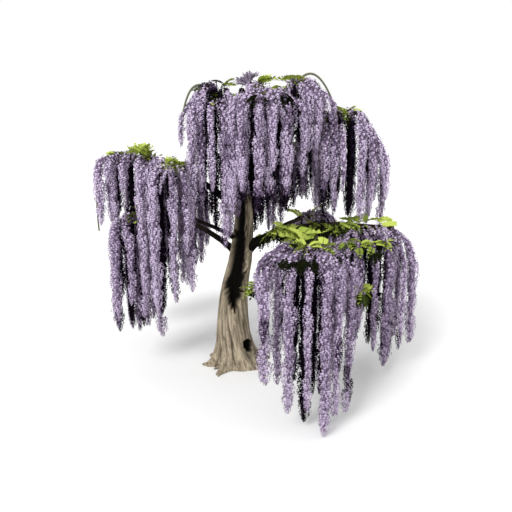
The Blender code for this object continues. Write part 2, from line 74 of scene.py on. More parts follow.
Mesh = tuple[Array, Array]
Arrays = TypeVar("Arrays")

BODY = "root"
GOLDEN_ANGLE = math.pi * (3 - math.sqrt(5))
ARCH_POINTS = 9
STEM_LEAD = 0.14
STEM_BARE = 0.22
STEM_LOOSE = 0.1
HEM_UNEVEN = 0.22
FOOT_STRAY = 0.03
JOINT_GAP = 0.0004
GROUND_CLEARANCE = 0.02
STRAND_CLEARANCE = 0.012
LEAF_SEED = 500
BLOSSOM_SEED = 1300
KNOB_SEED = 100
FURROW_SEED = 200

log = logging.getLogger("wisteria")


def smoothstep(low: float, high: float, value: Array) -> Array:
    """0 below low, 1 above high, and between them share squared times (3 minus twice the share)."""
    share = np.clip((value - low) / (high - low), 0, 1)
    return share * share * (3 - 2 * share)


def unit(vectors: Array) -> Array:
    """Vectors at length 1, along the last axis."""
    return vectors / np.maximum(np.linalg.norm(vectors, axis=-1, keepdims=True), 1e-12)


def dot(one: Array, other: Array) -> Array:
    """Dot products along the last axis, which stays with length 1."""
    return (one * other).sum(axis=-1, keepdims=True)


def bezier(start: Array, bend: Array, end: Array, shares: Array) -> Array:
    """Points of a quadratic curve: (1-t)² start + 2t(1-t) bend + t² end.

    Args:
        start: First point.
        bend: Point that the curve heads for first.
        end: Last point.
        shares: Values of t.

    Returns:
        One point for each share.
    """
    t = np.asarray(shares, float)[:, None]
    start, bend, end = (np.asarray(p, float) for p in (start, bend, end))
    return (1 - t) ** 2 * start + 2 * t * (1 - t) * bend + t**2 * end


def distances(path: Array) -> Array:
    """Distance along a path of points to each of them."""
    return np.concatenate([[0], np.cumsum(np.linalg.norm(np.diff(path, axis=0), axis=1))])


def interpolate(path: Array, along: Array, wanted: Array) -> Array:
    """Points of a path at the wanted distances, where along is each of its own points' distance."""
    return np.stack([np.interp(wanted, along, path[:, k]) for k in range(3)], axis=1)


def resample(path: Array, wanted: Array) -> Array:
    """Points at the wanted distances along a path."""
    return interpolate(path, distances(path), wanted)


def ring_angles(count: int) -> Array:
    """Angles of evenly spaced points round a ring, in radians."""
    return np.arange(count) * 2 * math.pi / count


def turned_from(middle: Array, azimuth: Array) -> Array:
    """Degrees, from -180 to 180, by which azimuths in radians are past a middle in degrees."""
    return (np.degrees(azimuth) - middle + 180) % 360 - 180


def bell(azimuth: Array, middle: float, width: float) -> Array:
    """A bump of height 1 round an azimuth: e to the minus (degrees away / width) squared."""
    return np.exp(-((turned_from(middle, azimuth) / width) ** 2))


def varied(draw: Array) -> Array:
    """A size's share for a random number: from 0.85 to 1.15."""
    return 0.85 + 0.3 * draw


def number_of(option: Enum) -> int:
    """Which of its kind an option is, counted from 0."""
    return list(type(option)).index(option)


def join_all(parts: list[Arrays]) -> Arrays:
    """Dataclasses of arrays as one of their kind, with each of its arrays joined in order."""
    kind = type(parts[0])
    return kind(*(np.concatenate([getattr(part, entry.name) for part in parts]) for entry in fields(kind)))


@dataclass
class Patch:
    """Triangles on their way into a mesh: points, rows of three corners, and each triangle's finish."""

    points: Array
    triangles: Array
    finishes: Array

    @staticmethod
    def plain(mesh: Mesh, finish: int = 0) -> "Patch":
        """Points and triangles with one finish all over."""
        return Patch(*mesh, np.full(len(mesh[1]), finish))

    @staticmethod
    def joined(patches: list["Patch"]) -> "Patch":
        """All the patches as one, with each one's corners counted on from those before it.

        Args:
            patches: Patches in order.

        Returns:
            One patch.
        """
        starts = np.cumsum([0] + [len(patch.points) for patch in patches[:-1]])
        return Patch(
            np.vstack([patch.points for patch in patches]),
            np.vstack([patch.triangles + start for patch, start in zip(patches, starts)]),
            np.concatenate([patch.finishes for patch in patches]),
        )


def repeat_shape(shape: Array, faces: Array, frames: Array, places: Array, sizes: Array) -> Mesh:
    """Copies of a small shape: place + size · (x · first axis + y · second axis + z · third axis).

    Args:
        shape: Points of the shape, in its own axes.
        faces: Its triangles.
        frames: For each copy, its three axes as rows.
        places: For each copy, where its origin goes.
        sizes: For each copy, its size.

    Returns:
        Points and triangles of all the copies.
    """
    points = places[:, None] + sizes[:, None, None] * (shape[None] @ frames)
    triangles = faces[None] + (np.arange(len(places)) * len(shape))[:, None, None]
    return points.reshape(-1, 3), triangles.reshape(-1, 3)


def tube_triangles(tubes: int, rings: int, sides: int) -> Array:
    """Triangles of closed tubes whose points are their rings in order, then a pole at each end.

    Args:
        tubes: Number of tubes.
        rings: Rings of each.
        sides: Points of a ring.

    Returns:
        Rows of three corners, facing outward.
    """
    here, after = np.arange(sides), (np.arange(sides) + 1) % sides
    steps = np.arange(rings - 1)[:, None] * sides
    near, near_after = steps + here, steps + after
    walls = np.stack([near, near_after, near + sides, near_after, near_after + sides, near + sides], axis=-1)
    last = (rings - 1) * sides
    start_pole, end_pole = np.full(sides, rings * sides), np.full(sides, rings * sides + 1)
    start = np.stack([start_pole, after, here], axis=-1)
    end = np.stack([end_pole, last + here, last + after], axis=-1)
    one = np.vstack([walls.reshape(-1, 3), start, end])
    return (one + np.arange(tubes)[:, None, None] * (rings * sides + 2)).reshape(-1, 3)


def sweep(paths: Array, radii: Array, sides: int, planes: Array) -> Mesh:
    """Closed tubes along paths that each lie near a plane.

    A ring's point stands at radius · (cos a · n + sin a · t × n) from the path, where t is the way the path
    runs and n is the plane's normal less its share along t.

    Args:
        paths: Tubes by rings by 3.
        radii: Tubes by rings, or tubes by rings by sides.
        sides: Points of a ring.
        planes: Normal of each path's plane.

    Returns:
        Points and triangles.
    """
    tangents = unit(np.gradient(paths, axis=1))
    normals = np.broadcast_to(planes[:, None], paths.shape)
    across = unit(normals - tangents * dot(normals, tangents))
    other = np.cross(tangents, across)
    angles = ring_angles(sides)[:, None]
    around = np.cos(angles) * across[:, :, None] + np.sin(angles) * other[:, :, None]
    if radii.ndim == 2:
        radii = radii[:, :, None]
    rings = paths[:, :, None] + radii[..., None] * around
    tubes, count = paths.shape[:2]
    points = np.concatenate([rings.reshape(tubes, -1, 3), paths[:, :1], paths[:, -1:]], axis=1)
    return points.reshape(-1, 3), tube_triangles(tubes, count, sides)


def new_piece(
    name: str,
    patch: Patch,
    materials: list[Material],
    attributes: dict[str, Array] | None = None,
) -> Object:
    """Makes a patch a piece of the tree that rides on its one body.

    Args:
        name: Name of the piece.
        patch: Its mesh.
        materials: Materials that the patch's finishes count.
        attributes: Numbers or vectors, one for each point, by name.

    Returns:
        The object.
    """
    mesh = bpy.data.meshes.new(name)
    mesh.vertices.add(len(patch.points))
    mesh.vertices.foreach_set("co", patch.points.astype(np.float32).ravel())
    mesh.loops.add(patch.triangles.size)
    mesh.loops.foreach_set("vertex_index", patch.triangles.astype(np.int32).ravel())
    mesh.polygons.add(len(patch.triangles))
    mesh.polygons.foreach_set("loop_start", np.arange(0, patch.triangles.size, 3, dtype=np.int32))
    for material in materials:
        mesh.materials.append(material)
    mesh.polygons.foreach_set("material_index", patch.finishes.astype(np.int32))
    for title, values in (attributes or {}).items():
        kind, key = ("FLOAT_VECTOR", "vector") if values.ndim == 2 else ("FLOAT", "value")
        layer = mesh.attributes.new(title, kind, "POINT")
        layer.data.foreach_set(key, values.astype(np.float32).ravel())
    mesh.update(calc_edges=True)
    mesh.shade_smooth()
    piece = bpy.data.objects.new(name, mesh)
    bpy.context.scene.collection.objects.link(piece)
    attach(piece, BODY)
    log.info("%s: %d triangles", name, len(patch.triangles))
    return piece


class Tint(Enum):
    """Plain tints of the blossom, mostly painted light and shade, from sunlit banner to inside a chain."""

    PALE = (0.47, 0.392, 0.53)
    LILAC = (0.43, 0.352, 0.485)
    MAUVE = (0.325, 0.257, 0.37)
    VIOLET = (0.145, 0.105, 0.17)
    DEEP = (0.022, 0.014, 0.030)
    NIGHT = (0.006, 0.0038, 0.0075)


class Green(Enum):
    """Plain colours of the leaves, lit to painted shade, then of buds, bare shoots and twigs."""

    LIME = (0.42, 0.50, 0.10)
    FRESH = (0.27, 0.35, 0.06)
    # DARK and SHADE are painted shade, for leaves that head down or stand in shade under the clumps.
    DARK = (0.05, 0.07, 0.015)
    SHADE = (0.008, 0.011, 0.004)
    BUD = (0.36, 0.31, 0.40)
    SHOOT = (0.13, 0.135, 0.085)
    TWIG = (0.04, 0.03, 0.02)


@dataclass(frozen=True)
class SoftFinish:
    """A plain finish for petals and leaves, which are too small to carry a pattern."""

    title: str
    colour: Triple
    roughness: float = 0.75
    specular: float = 0.0

    def make(self) -> Material:
        """Makes the material, with every value on the shader's own sockets.

        Returns:
            The material.
        """
        made = bpy.data.materials.new(self.title)
        made.use_nodes = True
        shader = made.node_tree.nodes["Principled BSDF"]
        shader.inputs["Base Color"].default_value = (*self.colour, 1)
        shader.inputs["Roughness"].default_value = self.roughness
        shader.inputs["Specular IOR Level"].default_value = self.specular
        return made


def add_node(
    tree: Tree,
    kind: str,
    values: dict | None = None,
    feeds: dict | None = None,
    **settings: object,
) -> Node:
    """Adds a shader node to a tree.

    Args:
        tree: The tree.
        kind: The node's type, less its first words.
        values: Values of its sockets, by the socket's name or number.
        feeds: Outputs linked to its sockets, by the socket's name or number.
        settings: Settings of the node itself, made first, because they choose its sockets.

    Returns:
        The node.
    """
    node = tree.nodes.new(f"ShaderNode{kind}")
    for title, setting in settings.items():
        setattr(node, title, setting)
    for title, value in (values or {}).items():
        node.inputs[title].default_value = value
    for title, output in (feeds or {}).items():
        tree.links.new(output, node.inputs[title])
    return node


def mix_colours(tree: Tree, share: Socket, low: Socket, high: Socket) -> Socket:
    """Adds a mix of two colours to a tree.

    Args:
        tree: The tree.
        share: Output that gives the share of the second colour.
        low: Output of the first colour.
        high: Output of the second.

    Returns:
        The mixed colour's output.
    """
    feeds = {"Factor": share, "A": low, "B": high}
    return add_node(tree, "Mix", None, feeds, data_type="RGBA").outputs["Result"]


def bark_grain() -> Tree:
    """The bark's grain as a node group: streaks that run along the limb, with painted shade in hollows.

    Place is a point in which the way along the limb is shortened, so a noise read there is drawn out into
    streaks. Colour goes from Dark to Light by a broad noise, less fine dark lines where a second noise
    crosses its middle, and to Pit where Hollow is 1.

    Returns:
        The group, with outputs Colour, Roughness and Height.
    """
    group = bpy.data.node_groups.new("bark_grain", "ShaderNodeTree")
    for way, kind, titles in (
        ("INPUT", "Vector", ("Place",)),
        ("INPUT", "Float", ("Hollow", "Scale")),
        ("INPUT", "Color", ("Light", "Dark", "Pit")),
        ("OUTPUT", "Color", ("Colour",)),
        ("OUTPUT", "Float", ("Roughness", "Height")),
    ):
        for title in titles:
            group.interface.new_socket(title, in_out=way, socket_type=f"NodeSocket{kind}")
    given = group.nodes.new("NodeGroupInput").outputs

    feeds = {"Vector": given["Place"], "Scale": given["Scale"]}
    broad = add_node(group, "TexNoise", {"Detail": 5, "Roughness": 0.62}, feeds).outputs["Fac"]
    values = {"From Min": 0.36, "From Max": 0.62}
    tone = add_node(group, "MapRange", values, {"Value": broad}).outputs["Result"]

    scale = add_node(group, "Math", {1: 2.6}, {0: given["Scale"]}, operation="MULTIPLY").outputs[0]
    feeds = {"Vector": given["Place"], "Scale": scale}
    fine = add_node(group, "TexNoise", {"Detail": 3}, feeds).outputs["Fac"]
    away = add_node(group, "Math", {1: 0.5}, {0: fine}, operation="SUBTRACT").outputs[0]
    size = add_node(group, "Math", None, {0: away}, operation="ABSOLUTE").outputs[0]
    line = add_node(group, "MapRange", {"From Max": 0.035, "To Min": 0.35}, {"Value": size}).outputs["Result"]

    shade = mix_colours(group, tone, given["Dark"], given["Light"])
    lined = mix_colours(group, line, given["Dark"], shade)
    # Pit is painted shade, laid over the bark where Hollow is 1.
    colour = mix_colours(group, given["Hollow"], lined, given["Pit"])
    rough = add_node(group, "MapRange", {"To Min": 0.95, "To Max": 0.72}, {"Value": tone}).outputs["Result"]
    height = add_node(group, "Math", None, {0: tone, 1: line}, operation="MULTIPLY").outputs[0]
    leave = group.nodes.new("NodeGroupOutput").inputs
    for output, title in ((colour, "Colour"), (rough, "Roughness"), (height, "Height")):
        group.links.new(output, leave[title])
    return group


@dataclass(frozen=True)
class BarkFinish:
    """Bark: a light and a dark tone in streaks along the limb, with black painted shade in its hollows."""

    title: str
    light: Triple
    dark: Triple
    # Colour of the painted shade in the hollows.
    pit: Triple = (0.0025, 0.002, 0.0015)
    scale: float = 22.0
    bump: float = 0.6
    depth: float = 0.006
    specular: float = 0.06

    def make(self, grain: Tree) -> Material:
        """Makes the material from the grain group and the attributes grain and hollow, the painted shade.

        Args:
            grain: The bark_grain group.

        Returns:
            The material.
        """
        made = bpy.data.materials.new(self.title)
        made.use_nodes = True
        tree = made.node_tree
        shader = tree.nodes["Principled BSDF"].inputs
        shader["Specular IOR Level"].default_value = self.specular
        colours = {"Light": self.light, "Dark": self.dark, "Pit": self.pit}
        values = {"Scale": self.scale} | {title: (*colour, 1) for title, colour in colours.items()}
        feeds = {
            "Place": add_node(tree, "Attribute", attribute_name="grain").outputs["Vector"],
            "Hollow": add_node(tree, "Attribute", attribute_name="hollow").outputs["Fac"],
        }
        pattern = add_node(tree, "Group", values, feeds, node_tree=grain).outputs
        values = {"Strength": self.bump, "Distance": self.depth}
        bump = add_node(tree, "Bump", values, {"Height": pattern["Height"]})
        tree.links.new(bump.outputs["Normal"], shader["Normal"])
        tree.links.new(pattern["Colour"], shader["Base Color"])
        tree.links.new(pattern["Roughness"], shader["Roughness"])
        return made


TRUNK_BARK = BarkFinish("trunk_bark", (0.41, 0.345, 0.25), (0.12, 0.095, 0.065))
# The boughs' bark is far darker than the trunk's, as painted shade inside the crown.
BOUGH_BARK = BarkFinish("bough_bark", (0.055, 0.042, 0.03), (0.012, 0.009, 0.007), scale=30)


def grain_places(radius: Array, angle: Array, along: Array) -> Array:
    """Where the grain is read over a limb: radius · (cos, sin) of the angle, and along; the poles at 0."""
    places = np.broadcast_arrays(radius * np.cos(angle), radius * np.sin(angle), along)
    return np.vstack([np.stack(places, axis=-1).reshape(-1, 3), np.zeros((2, 3))])


@dataclass(frozen=True)
class Waves:
    """A rippled height over a limb: cosines with whole turns round it, so that it closes on itself.

    The height is the sum of cos(n · azimuth + m · along + phase) over the waves, at about unit strength. Each
    azimuth is turned on by twist for each metre along.
    """

    seed: int
    turns: tuple[int, int]
    climb: float
    count: int = 7
    twist: float = 0.0

    def at(self, azimuth: Array, along: Array) -> Array:
        """The height at places on a limb.

        Args:
            azimuth: Angle round the limb.
            along: Distance along it.

        Returns:
            Heights of about -1 to 1.
        """
        draws = np.random.default_rng(self.seed)
        turns = draws.integers(self.turns[0], self.turns[1] + 1, self.count)
        climbs = draws.normal(0, self.climb, self.count)
        phases = draws.uniform(0, 2 * math.pi, self.count)
        total = np.zeros(np.broadcast(azimuth, along).shape)
        for n, m, phase in zip(turns, climbs, phases):
            total = total + np.cos(n * (azimuth + self.twist * along) + m * along + phase)
        return total / math.sqrt(self.count)


@dataclass(frozen=True)
class Root:
    """A lobe of the root flare: the way it runs, how far, how high it stands and its width in degrees."""

    azimuth: float
    reach: float
    height: float
    width: float


@dataclass(frozen=True)
class Cleft:
    """The hollow up the front of the trunk, ragged at its edges and painted black inside as shade.

    It is at its azimuth at the height middle, winds by turn degrees per metre and runs straight above held.
    It opens between the heights low and full, and closes over the last of its height below high.
    """

    azimuth: float = -107
    half_width: float = 68
    turn: float = -42
    middle: float = 1.5
    held: float = 1.95
    depth: float = 0.8
    shade: float = 1.6
    low: float = 0.8
    full: float = 1.3
    high: float = 2.47
    closing: float = 0.08
    narrowing: float = 0.25
    floor: float = 0.72
    ragged: float = 5.0
    edge: Waves = Waves(41, (4, 22), 26, 9)

    def depth_at(self, azimuth: Array, height: Array) -> Array:
        """How deep the hollow is: a smooth step in from its half width to its floor's share of it.

        The half width grows as the 0.6th power of the opening and is shaken by the edge's ripples.

        Args:
            azimuth: Azimuths in radians.
            height: Heights above the ground.

        Returns:
            Shares of its depth.
        """
        azimuth_there = self.azimuth + self.turn * (np.minimum(height, self.held) - self.middle)
        away = np.abs(turned_from(azimuth_there, azimuth)) + self.ragged * self.edge.at(azimuth, height)
        opening = smoothstep(self.low, self.full, height) ** 0.6
        closing = 1 - smoothstep(self.high - self.closing, self.high, height)
        narrow = 1 - self.narrowing * smoothstep(self.full, self.high, height)
        width = np.maximum(self.half_width * opening * narrow, 0.01)
        return (1 - smoothstep(self.floor, 1.0, away / width)) * (opening > 0.02) * closing


@dataclass(frozen=True)
class KnotHole:
    """A dead branch's hole near the foot, with a swollen rim, painted black inside as shade."""

    azimuth: float = -37
    height: float = 0.33
    radius: float = 0.096
    depth: float = 0.13
    shade: float = 5.0
    floor: float = 0.6
    ragged: float = 0.12
    edge: Waves = Waves(43, (6, 20), 40, 6)
    rim: float = 0.012
    rim_at: float = 0.25

    def depth_at(self, azimuth: Array, height: Array, girth: Array) -> Array:
        """How deep the hole is: a smooth step in from its radius to its floor's share of it.

        Args:
            azimuth: Azimuths in radians.
            height: Heights above the ground.
            girth: The trunk's radius there.

        Returns:
            Shares of its depth.
        """
        sideways = np.radians(turned_from(self.azimuth, azimuth)) * girth
        apart = np.hypot(sideways, height - self.height) / self.radius
        return 1 - smoothstep(self.floor, 1.0, apart + self.ragged * self.edge.at(azimuth, height))

    def swelling(self, share: Array) -> Array:
        """How far the rim swells where the hole has a share of its depth: a bell round rim_at."""
        return self.rim * (np.exp(-(((share - self.rim_at) / self.rim_at) ** 2)) * (share > 0.001))


@dataclass(frozen=True)
class Claw:
    """A root that grips the ground: its azimuth, how far it reaches, its radius at each end and its swerve.

    It starts out and up by start, bends at a share of its reach and a height, and ends at tip_height.
    """

    azimuth: float
    reach: float
    radius: float
    tip_radius: float
    swerve: float
    start: Pair = (0.2, 0.22)
    bend: Pair = (0.62, 0.035)
    tip_height: float = 0.008

    def path(self, shares: Array) -> Array:
        """Points along the root.

        Args:
            shares: Shares of its curve.

        Returns:
            One point for each share.
        """
        way = np.array([math.cos(math.radians(self.azimuth)), math.sin(math.radians(self.azimuth)), 0])
        side = np.array([-way[1], way[0], 0])
        start = self.start[0] * way + (0, 0, self.start[1])
        bend = self.bend[0] * self.reach * way + self.swerve * side + (0, 0, self.bend[1])
        return bezier(start, bend, self.reach * way + (0, 0, self.tip_height), shares)

    def radii(self, shares: Array) -> Array:
        """Radii at shares of the root: an even taper, rounded off as a square root at the tip."""
        taper = self.radius + (self.tip_radius - self.radius) * shares
        return taper * np.sqrt(np.clip((1.04 - shares) / 0.12, 0, 1))


@dataclass
class Trunk:
    """The trunk from its flat foot to the fork: taper, sway, lean, root lobes, hollow, knot hole and bark.

    Bark relief keeps lasting of its depth high up. Its grain winds by twist for each metre and is read at
    shortening of its height. Ridges stand up the middle of each root.
    """

    height: float = 2.5
    foot: float = 0.256
    taper: float = 0.063
    swell: float = 0.06
    swell_height: float = 0.2
    lean: float = 0.11
    lean_from: float = 0.9
    lean_to: float = 2.2
    sway: float = 0.05
    sway_height: float = 1.5
    roots: tuple[Root, ...] = (
        Root(193, 0.47, 0.10, 13),
        Root(238, 0.5, 0.09, 11),
        Root(324, 0.40, 0.14, 17),
        Root(18, 0.46, 0.16, 15),
        Root(88, 0.42, 0.12, 15),
        Root(150, 0.42, 0.13, 13),
    )
    cleft: Cleft = Cleft()
    knot: KnotHole = KnotHole()
    sides: int = 300
    rings: int = 220
    packing: float = 0.55
    flutes: Waves = Waves(31, (3, 8), 1.6, 7, 0.35)
    flute_depth: float = 0.011
    furrows: Waves = Waves(37, (7, 17), 2.6, 8, 0.35)
    furrow_depth: float = 0.008
    furrow_width: float = 0.22
    furrow_shade: float = 0.55
    shaded_flutes: float = 0.4
    fibres: Waves = Waves(53, (34, 74), 9.0, 10, 0.35)
    fibre_depth: float = 0.0016
    lasting: float = 0.45
    fade_height: float = 1.1
    twist: float = 0.35
    shortening: float = 0.11
    ridge: float = 0.03
    ridge_width: float = 8.0
    ridge_height: float = 0.4
    ridge_start: float = 0.08
    claws: tuple[Claw, ...] = (
        Claw(190, 0.50, 0.05, 0.016, 0.06),
        Claw(243, 0.54, 0.048, 0.012, -0.05),
        Claw(218, 0.40, 0.036, 0.014, 0.02),
        Claw(320, 0.43, 0.055, 0.020, 0.04),
        Claw(344, 0.40, 0.045, 0.022, 0.02),
        Claw(18, 0.49, 0.055, 0.030, -0.03),
        Claw(52, 0.40, 0.045, 0.02, 0.03),
        Claw(88, 0.46, 0.05, 0.02, 0.04),
        Claw(118, 0.38, 0.04, 0.018, -0.03),
        Claw(150, 0.46, 0.052, 0.034, 0.03),
    )
    claw_rings: int = 26
    claw_sides: int = 18
    claw_knots: Waves = Waves(61, (1, 3), 18, 6)
    claw_knot_depth: float = 0.08

    def axis(self, height: Array) -> Array:
        """Middle of the trunk at a height: a slight sway at the foot, then a smooth step to the right.

        Args:
            height: Heights above the ground.

        Returns:
            One point for each height.
        """
        height = np.asarray(height, float)
        sway = self.sway * np.sin(math.pi * np.minimum(height, self.sway_height) / self.sway_height)
        lean = self.lean * smoothstep(self.lean_from, self.lean_to, height)
        return np.stack([lean - sway, 0 * height, height], axis=-1)

    def girth(self, azimuth: Array, height: Array) -> Array:
        """Distance from axis to bark, before hollows: taper and swell, plus a bell for each root lobe.

        Args:
            azimuth: Azimuths in radians.
            height: Heights above the ground.

        Returns:
            Radii.
        """
        plain = self.foot - self.taper * height + self.swell * np.exp(-height / self.swell_height)
        foot = self.foot + self.swell
        for root in self.roots:
            lobe = bell(azimuth, root.azimuth, root.width) * np.exp(-height / root.height)
            plain = plain + (root.reach - foot) * lobe
        return plain

    def ridges(self, azimuth: Array, height: Array) -> Array:
        """How far the bark stands out up the middle of each root: a bell that grows and dies with height."""
        ridges = self.ridge * sum(bell(azimuth, root.azimuth, self.ridge_width) for root in self.roots)
        return ridges * np.exp(-height / self.ridge_height) * (1 - np.exp(-height / self.ridge_start))

    def build(self, bark: Material) -> None:
        """Makes the trunk's piece, a closed grid of rings by sides, in place of its solid.

        A ring's height is the trunk's, times packing · share^1.8 and an even share for the rest.

        Args:
            bark: The trunk's bark.
        """
        share = np.linspace(0, 1, self.rings)[:, None]
        height = self.height * (self.packing * share**1.8 + (1 - self.packing) * share)
        azimuth = ring_angles(self.sides)[None]
        girth = self.girth(azimuth, height)
        flutes = self.flutes.at(azimuth, height)
        furrows = np.exp(-((self.furrows.at(azimuth, height) / self.furrow_width) ** 2))
        fibres = self.fibres.at(azimuth, height)
        slit = self.cleft.depth_at(azimuth, height)
        hole = self.knot.depth_at(azimuth, height, girth)
        relief = self.flute_depth * flutes - self.furrow_depth * furrows + self.fibre_depth * fibres
        fading = self.lasting + (1 - self.lasting) * np.exp(-height / self.fade_height)
        radius = girth + fading * relief + self.ridges(azimuth, height)
        radius = (radius + self.knot.swelling(hole) - self.knot.depth * hole) * (1 - self.cleft.depth * slit)
        outward = np.stack([np.cos(azimuth), np.sin(azimuth), 0 * azimuth], axis=-1)
        rings = self.axis(height) + radius[..., None] * outward
        points = np.vstack([rings.reshape(-1, 3), self.axis(np.array([0.0, self.height]))])
        # Painted shade: black in the cleft and the knot hole, and darker in furrows between low flutes.
        dark = np.maximum(self.cleft.shade * slit, self.knot.shade * hole)
        dark = dark + self.furrow_shade * furrows * (flutes < self.shaded_flutes)
        attributes = {
            "grain": grain_places(girth, azimuth + self.twist * height, self.shortening * height),
            "hollow": np.concatenate([np.clip(dark, 0, 1).ravel(), [0, 1]]),
        }
        patch = Patch.plain((points, tube_triangles(1, self.rings, self.sides)))
        piece = new_piece("trunk_bark", patch, [bark], attributes)
        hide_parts("trunk")
        self.build_claws(bark)

    def build_claws(self, bark: Material) -> None:
        """Makes the claws, tubes that run out from the foot along the ground and are flat where they meet it.

        Args:
            bark: The trunk's bark.
        """
        shares = np.linspace(0, 1, self.claw_rings)
        azimuth = ring_angles(self.claw_sides)
        paths = np.array([claw.path(shares) for claw in self.claws])
        radii = np.array([claw.radii(shares) for claw in self.claws])
        knots = self.claw_knots.at(azimuth[None], paths[..., :1] * 2 + shares[None, :, None])
        radii = radii[..., None] * (1 + self.claw_knot_depth * knots)
        planes = np.tile([0.0, 0.0, 1.0], (len(paths), 1))
        points, triangles = sweep(paths, radii, self.claw_sides, planes)
        points[:, 2] = np.maximum(points[:, 2], 0)
        attributes = {"grain": points, "hollow": np.zeros(len(points))}
        new_piece("root_claws", Patch.plain((points, triangles)), [bark], attributes)


@dataclass(frozen=True)
class Bough:
    """A tapering bough that leaves its parent at a share of the parent's length, or of the trunk's height.

    slim is the share of its radius that its wood has near the parent, from where it fills out to the tip.
    """

    name: str
    parent: str
    share: float
    bend: Triple
    end: Triple
    radius: float
    tip_radius: float
    slim: float = 1.0

    def curve(self, trunk: Trunk, curves: dict[str, Curve]) -> Curve:
        """Start, bend and end of the bough's curve.

        Args:
            trunk: The trunk.
            curves: Curves of the boughs before it.

        Returns:
            Three points.
        """
        if self.parent == "trunk":
            start = trunk.axis(self.share * trunk.height)
        else:
            start = bezier(*curves[self.parent], [self.share])[0]
        return start, np.array(self.bend), np.array(self.end)

    def path(self, curve: Curve, rings: int) -> tuple[Array, Array]:
        """Evenly spaced points along the bough, and its radius at each, which tapers evenly.

        Args:
            curve: Start, bend and end.
            rings: Number of points.

        Returns:
            Points and radii.
        """
        fine = np.linspace(0, 1, 401)
        along = distances(bezier(*curve, fine))
        wanted = np.linspace(0, along[-1], rings)
        radii = self.radius + (self.tip_radius - self.radius) * wanted / along[-1]
        return bezier(*curve, np.interp(wanted, along, fine)), radii


@dataclass
class BoughWork:
    """How boughs are made: rings and sides, the swelling where they leave their parent, and bark relief.

    in_trunk and in_bough are how far along a bough comes out of its parent. shadow is the length, past there,
    over which it clears from black to its bark. Inside its parent it starts at root_share of its radius, so
    that it doesn't fill the trunk's hollow.
    """

    rings: int = 64
    sides: int = 30
    in_trunk: float = 0.16
    in_bough: float = 0.03
    collar_swell: float = 0.5
    collar_length: float = 0.09
    knobs: float = 0.07
    furrows: float = 0.09
    furrow_width: float = 0.3
    furrow_shade: float = 0.6
    shortening: float = 0.13
    shadow: float = 1.1
    root_share: float = 0.3

    def build(self, bough: Bough, curve: Curve, number: int, bark: Material) -> None:
        """Makes one bough's piece in place of its solid.

        Args:
            bough: The bough.
            curve: Its start, bend and end.
            number: Its number, which seeds its bark.
            bark: The boughs' bark.
        """
        path, radii = bough.path(curve, self.rings)
        along = distances(path)
        azimuth = ring_angles(self.sides)
        buried = self.in_trunk if bough.parent == "trunk" else self.in_bough
        swell = 1 + self.collar_swell * np.exp(-np.maximum(along - buried, 0) / self.collar_length)
        swell *= self.root_share + (1 - self.root_share) * smoothstep(0.3 * buried, 0.9 * buried, along)
        filled = bough.slim + (1 - bough.slim) * (along / along[-1]) ** 2
        knobs = Waves(KNOB_SEED + number, (1, 3), 9, 6).at(azimuth[None], along[:, None])
        crossing = Waves(FURROW_SEED + number, (3, 6), 6, 6, 2.0).at(azimuth[None], along[:, None])
        cuts = np.exp(-((crossing / self.furrow_width) ** 2))
        radius = (radii * swell * filled)[:, None] * (1 + self.knobs * knobs - self.furrows * cuts)
        normal = unit(np.cross(curve[1] - curve[0], curve[2] - curve[1]))
        patch = Patch.plain(sweep(path[None], radius[None], self.sides, normal[None]))
        # Painted shade: black near the parent, clearing over the shadow length, and darker in the furrows.
        inside = 1 - smoothstep(buried, buried + self.shadow, along)
        hollow = np.maximum(self.furrow_shade * cuts, inside[:, None]).ravel()
        attributes = {
            "grain": grain_places(radii[:, None], azimuth, self.shortening * along[:, None]) + number,
            "hollow": np.concatenate([hollow, [1, 0]]),
        }
        piece = new_piece(f"{bough.name}_bark", patch, [bark], attributes)
        if bough.name != "spur":
            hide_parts(bough.name)


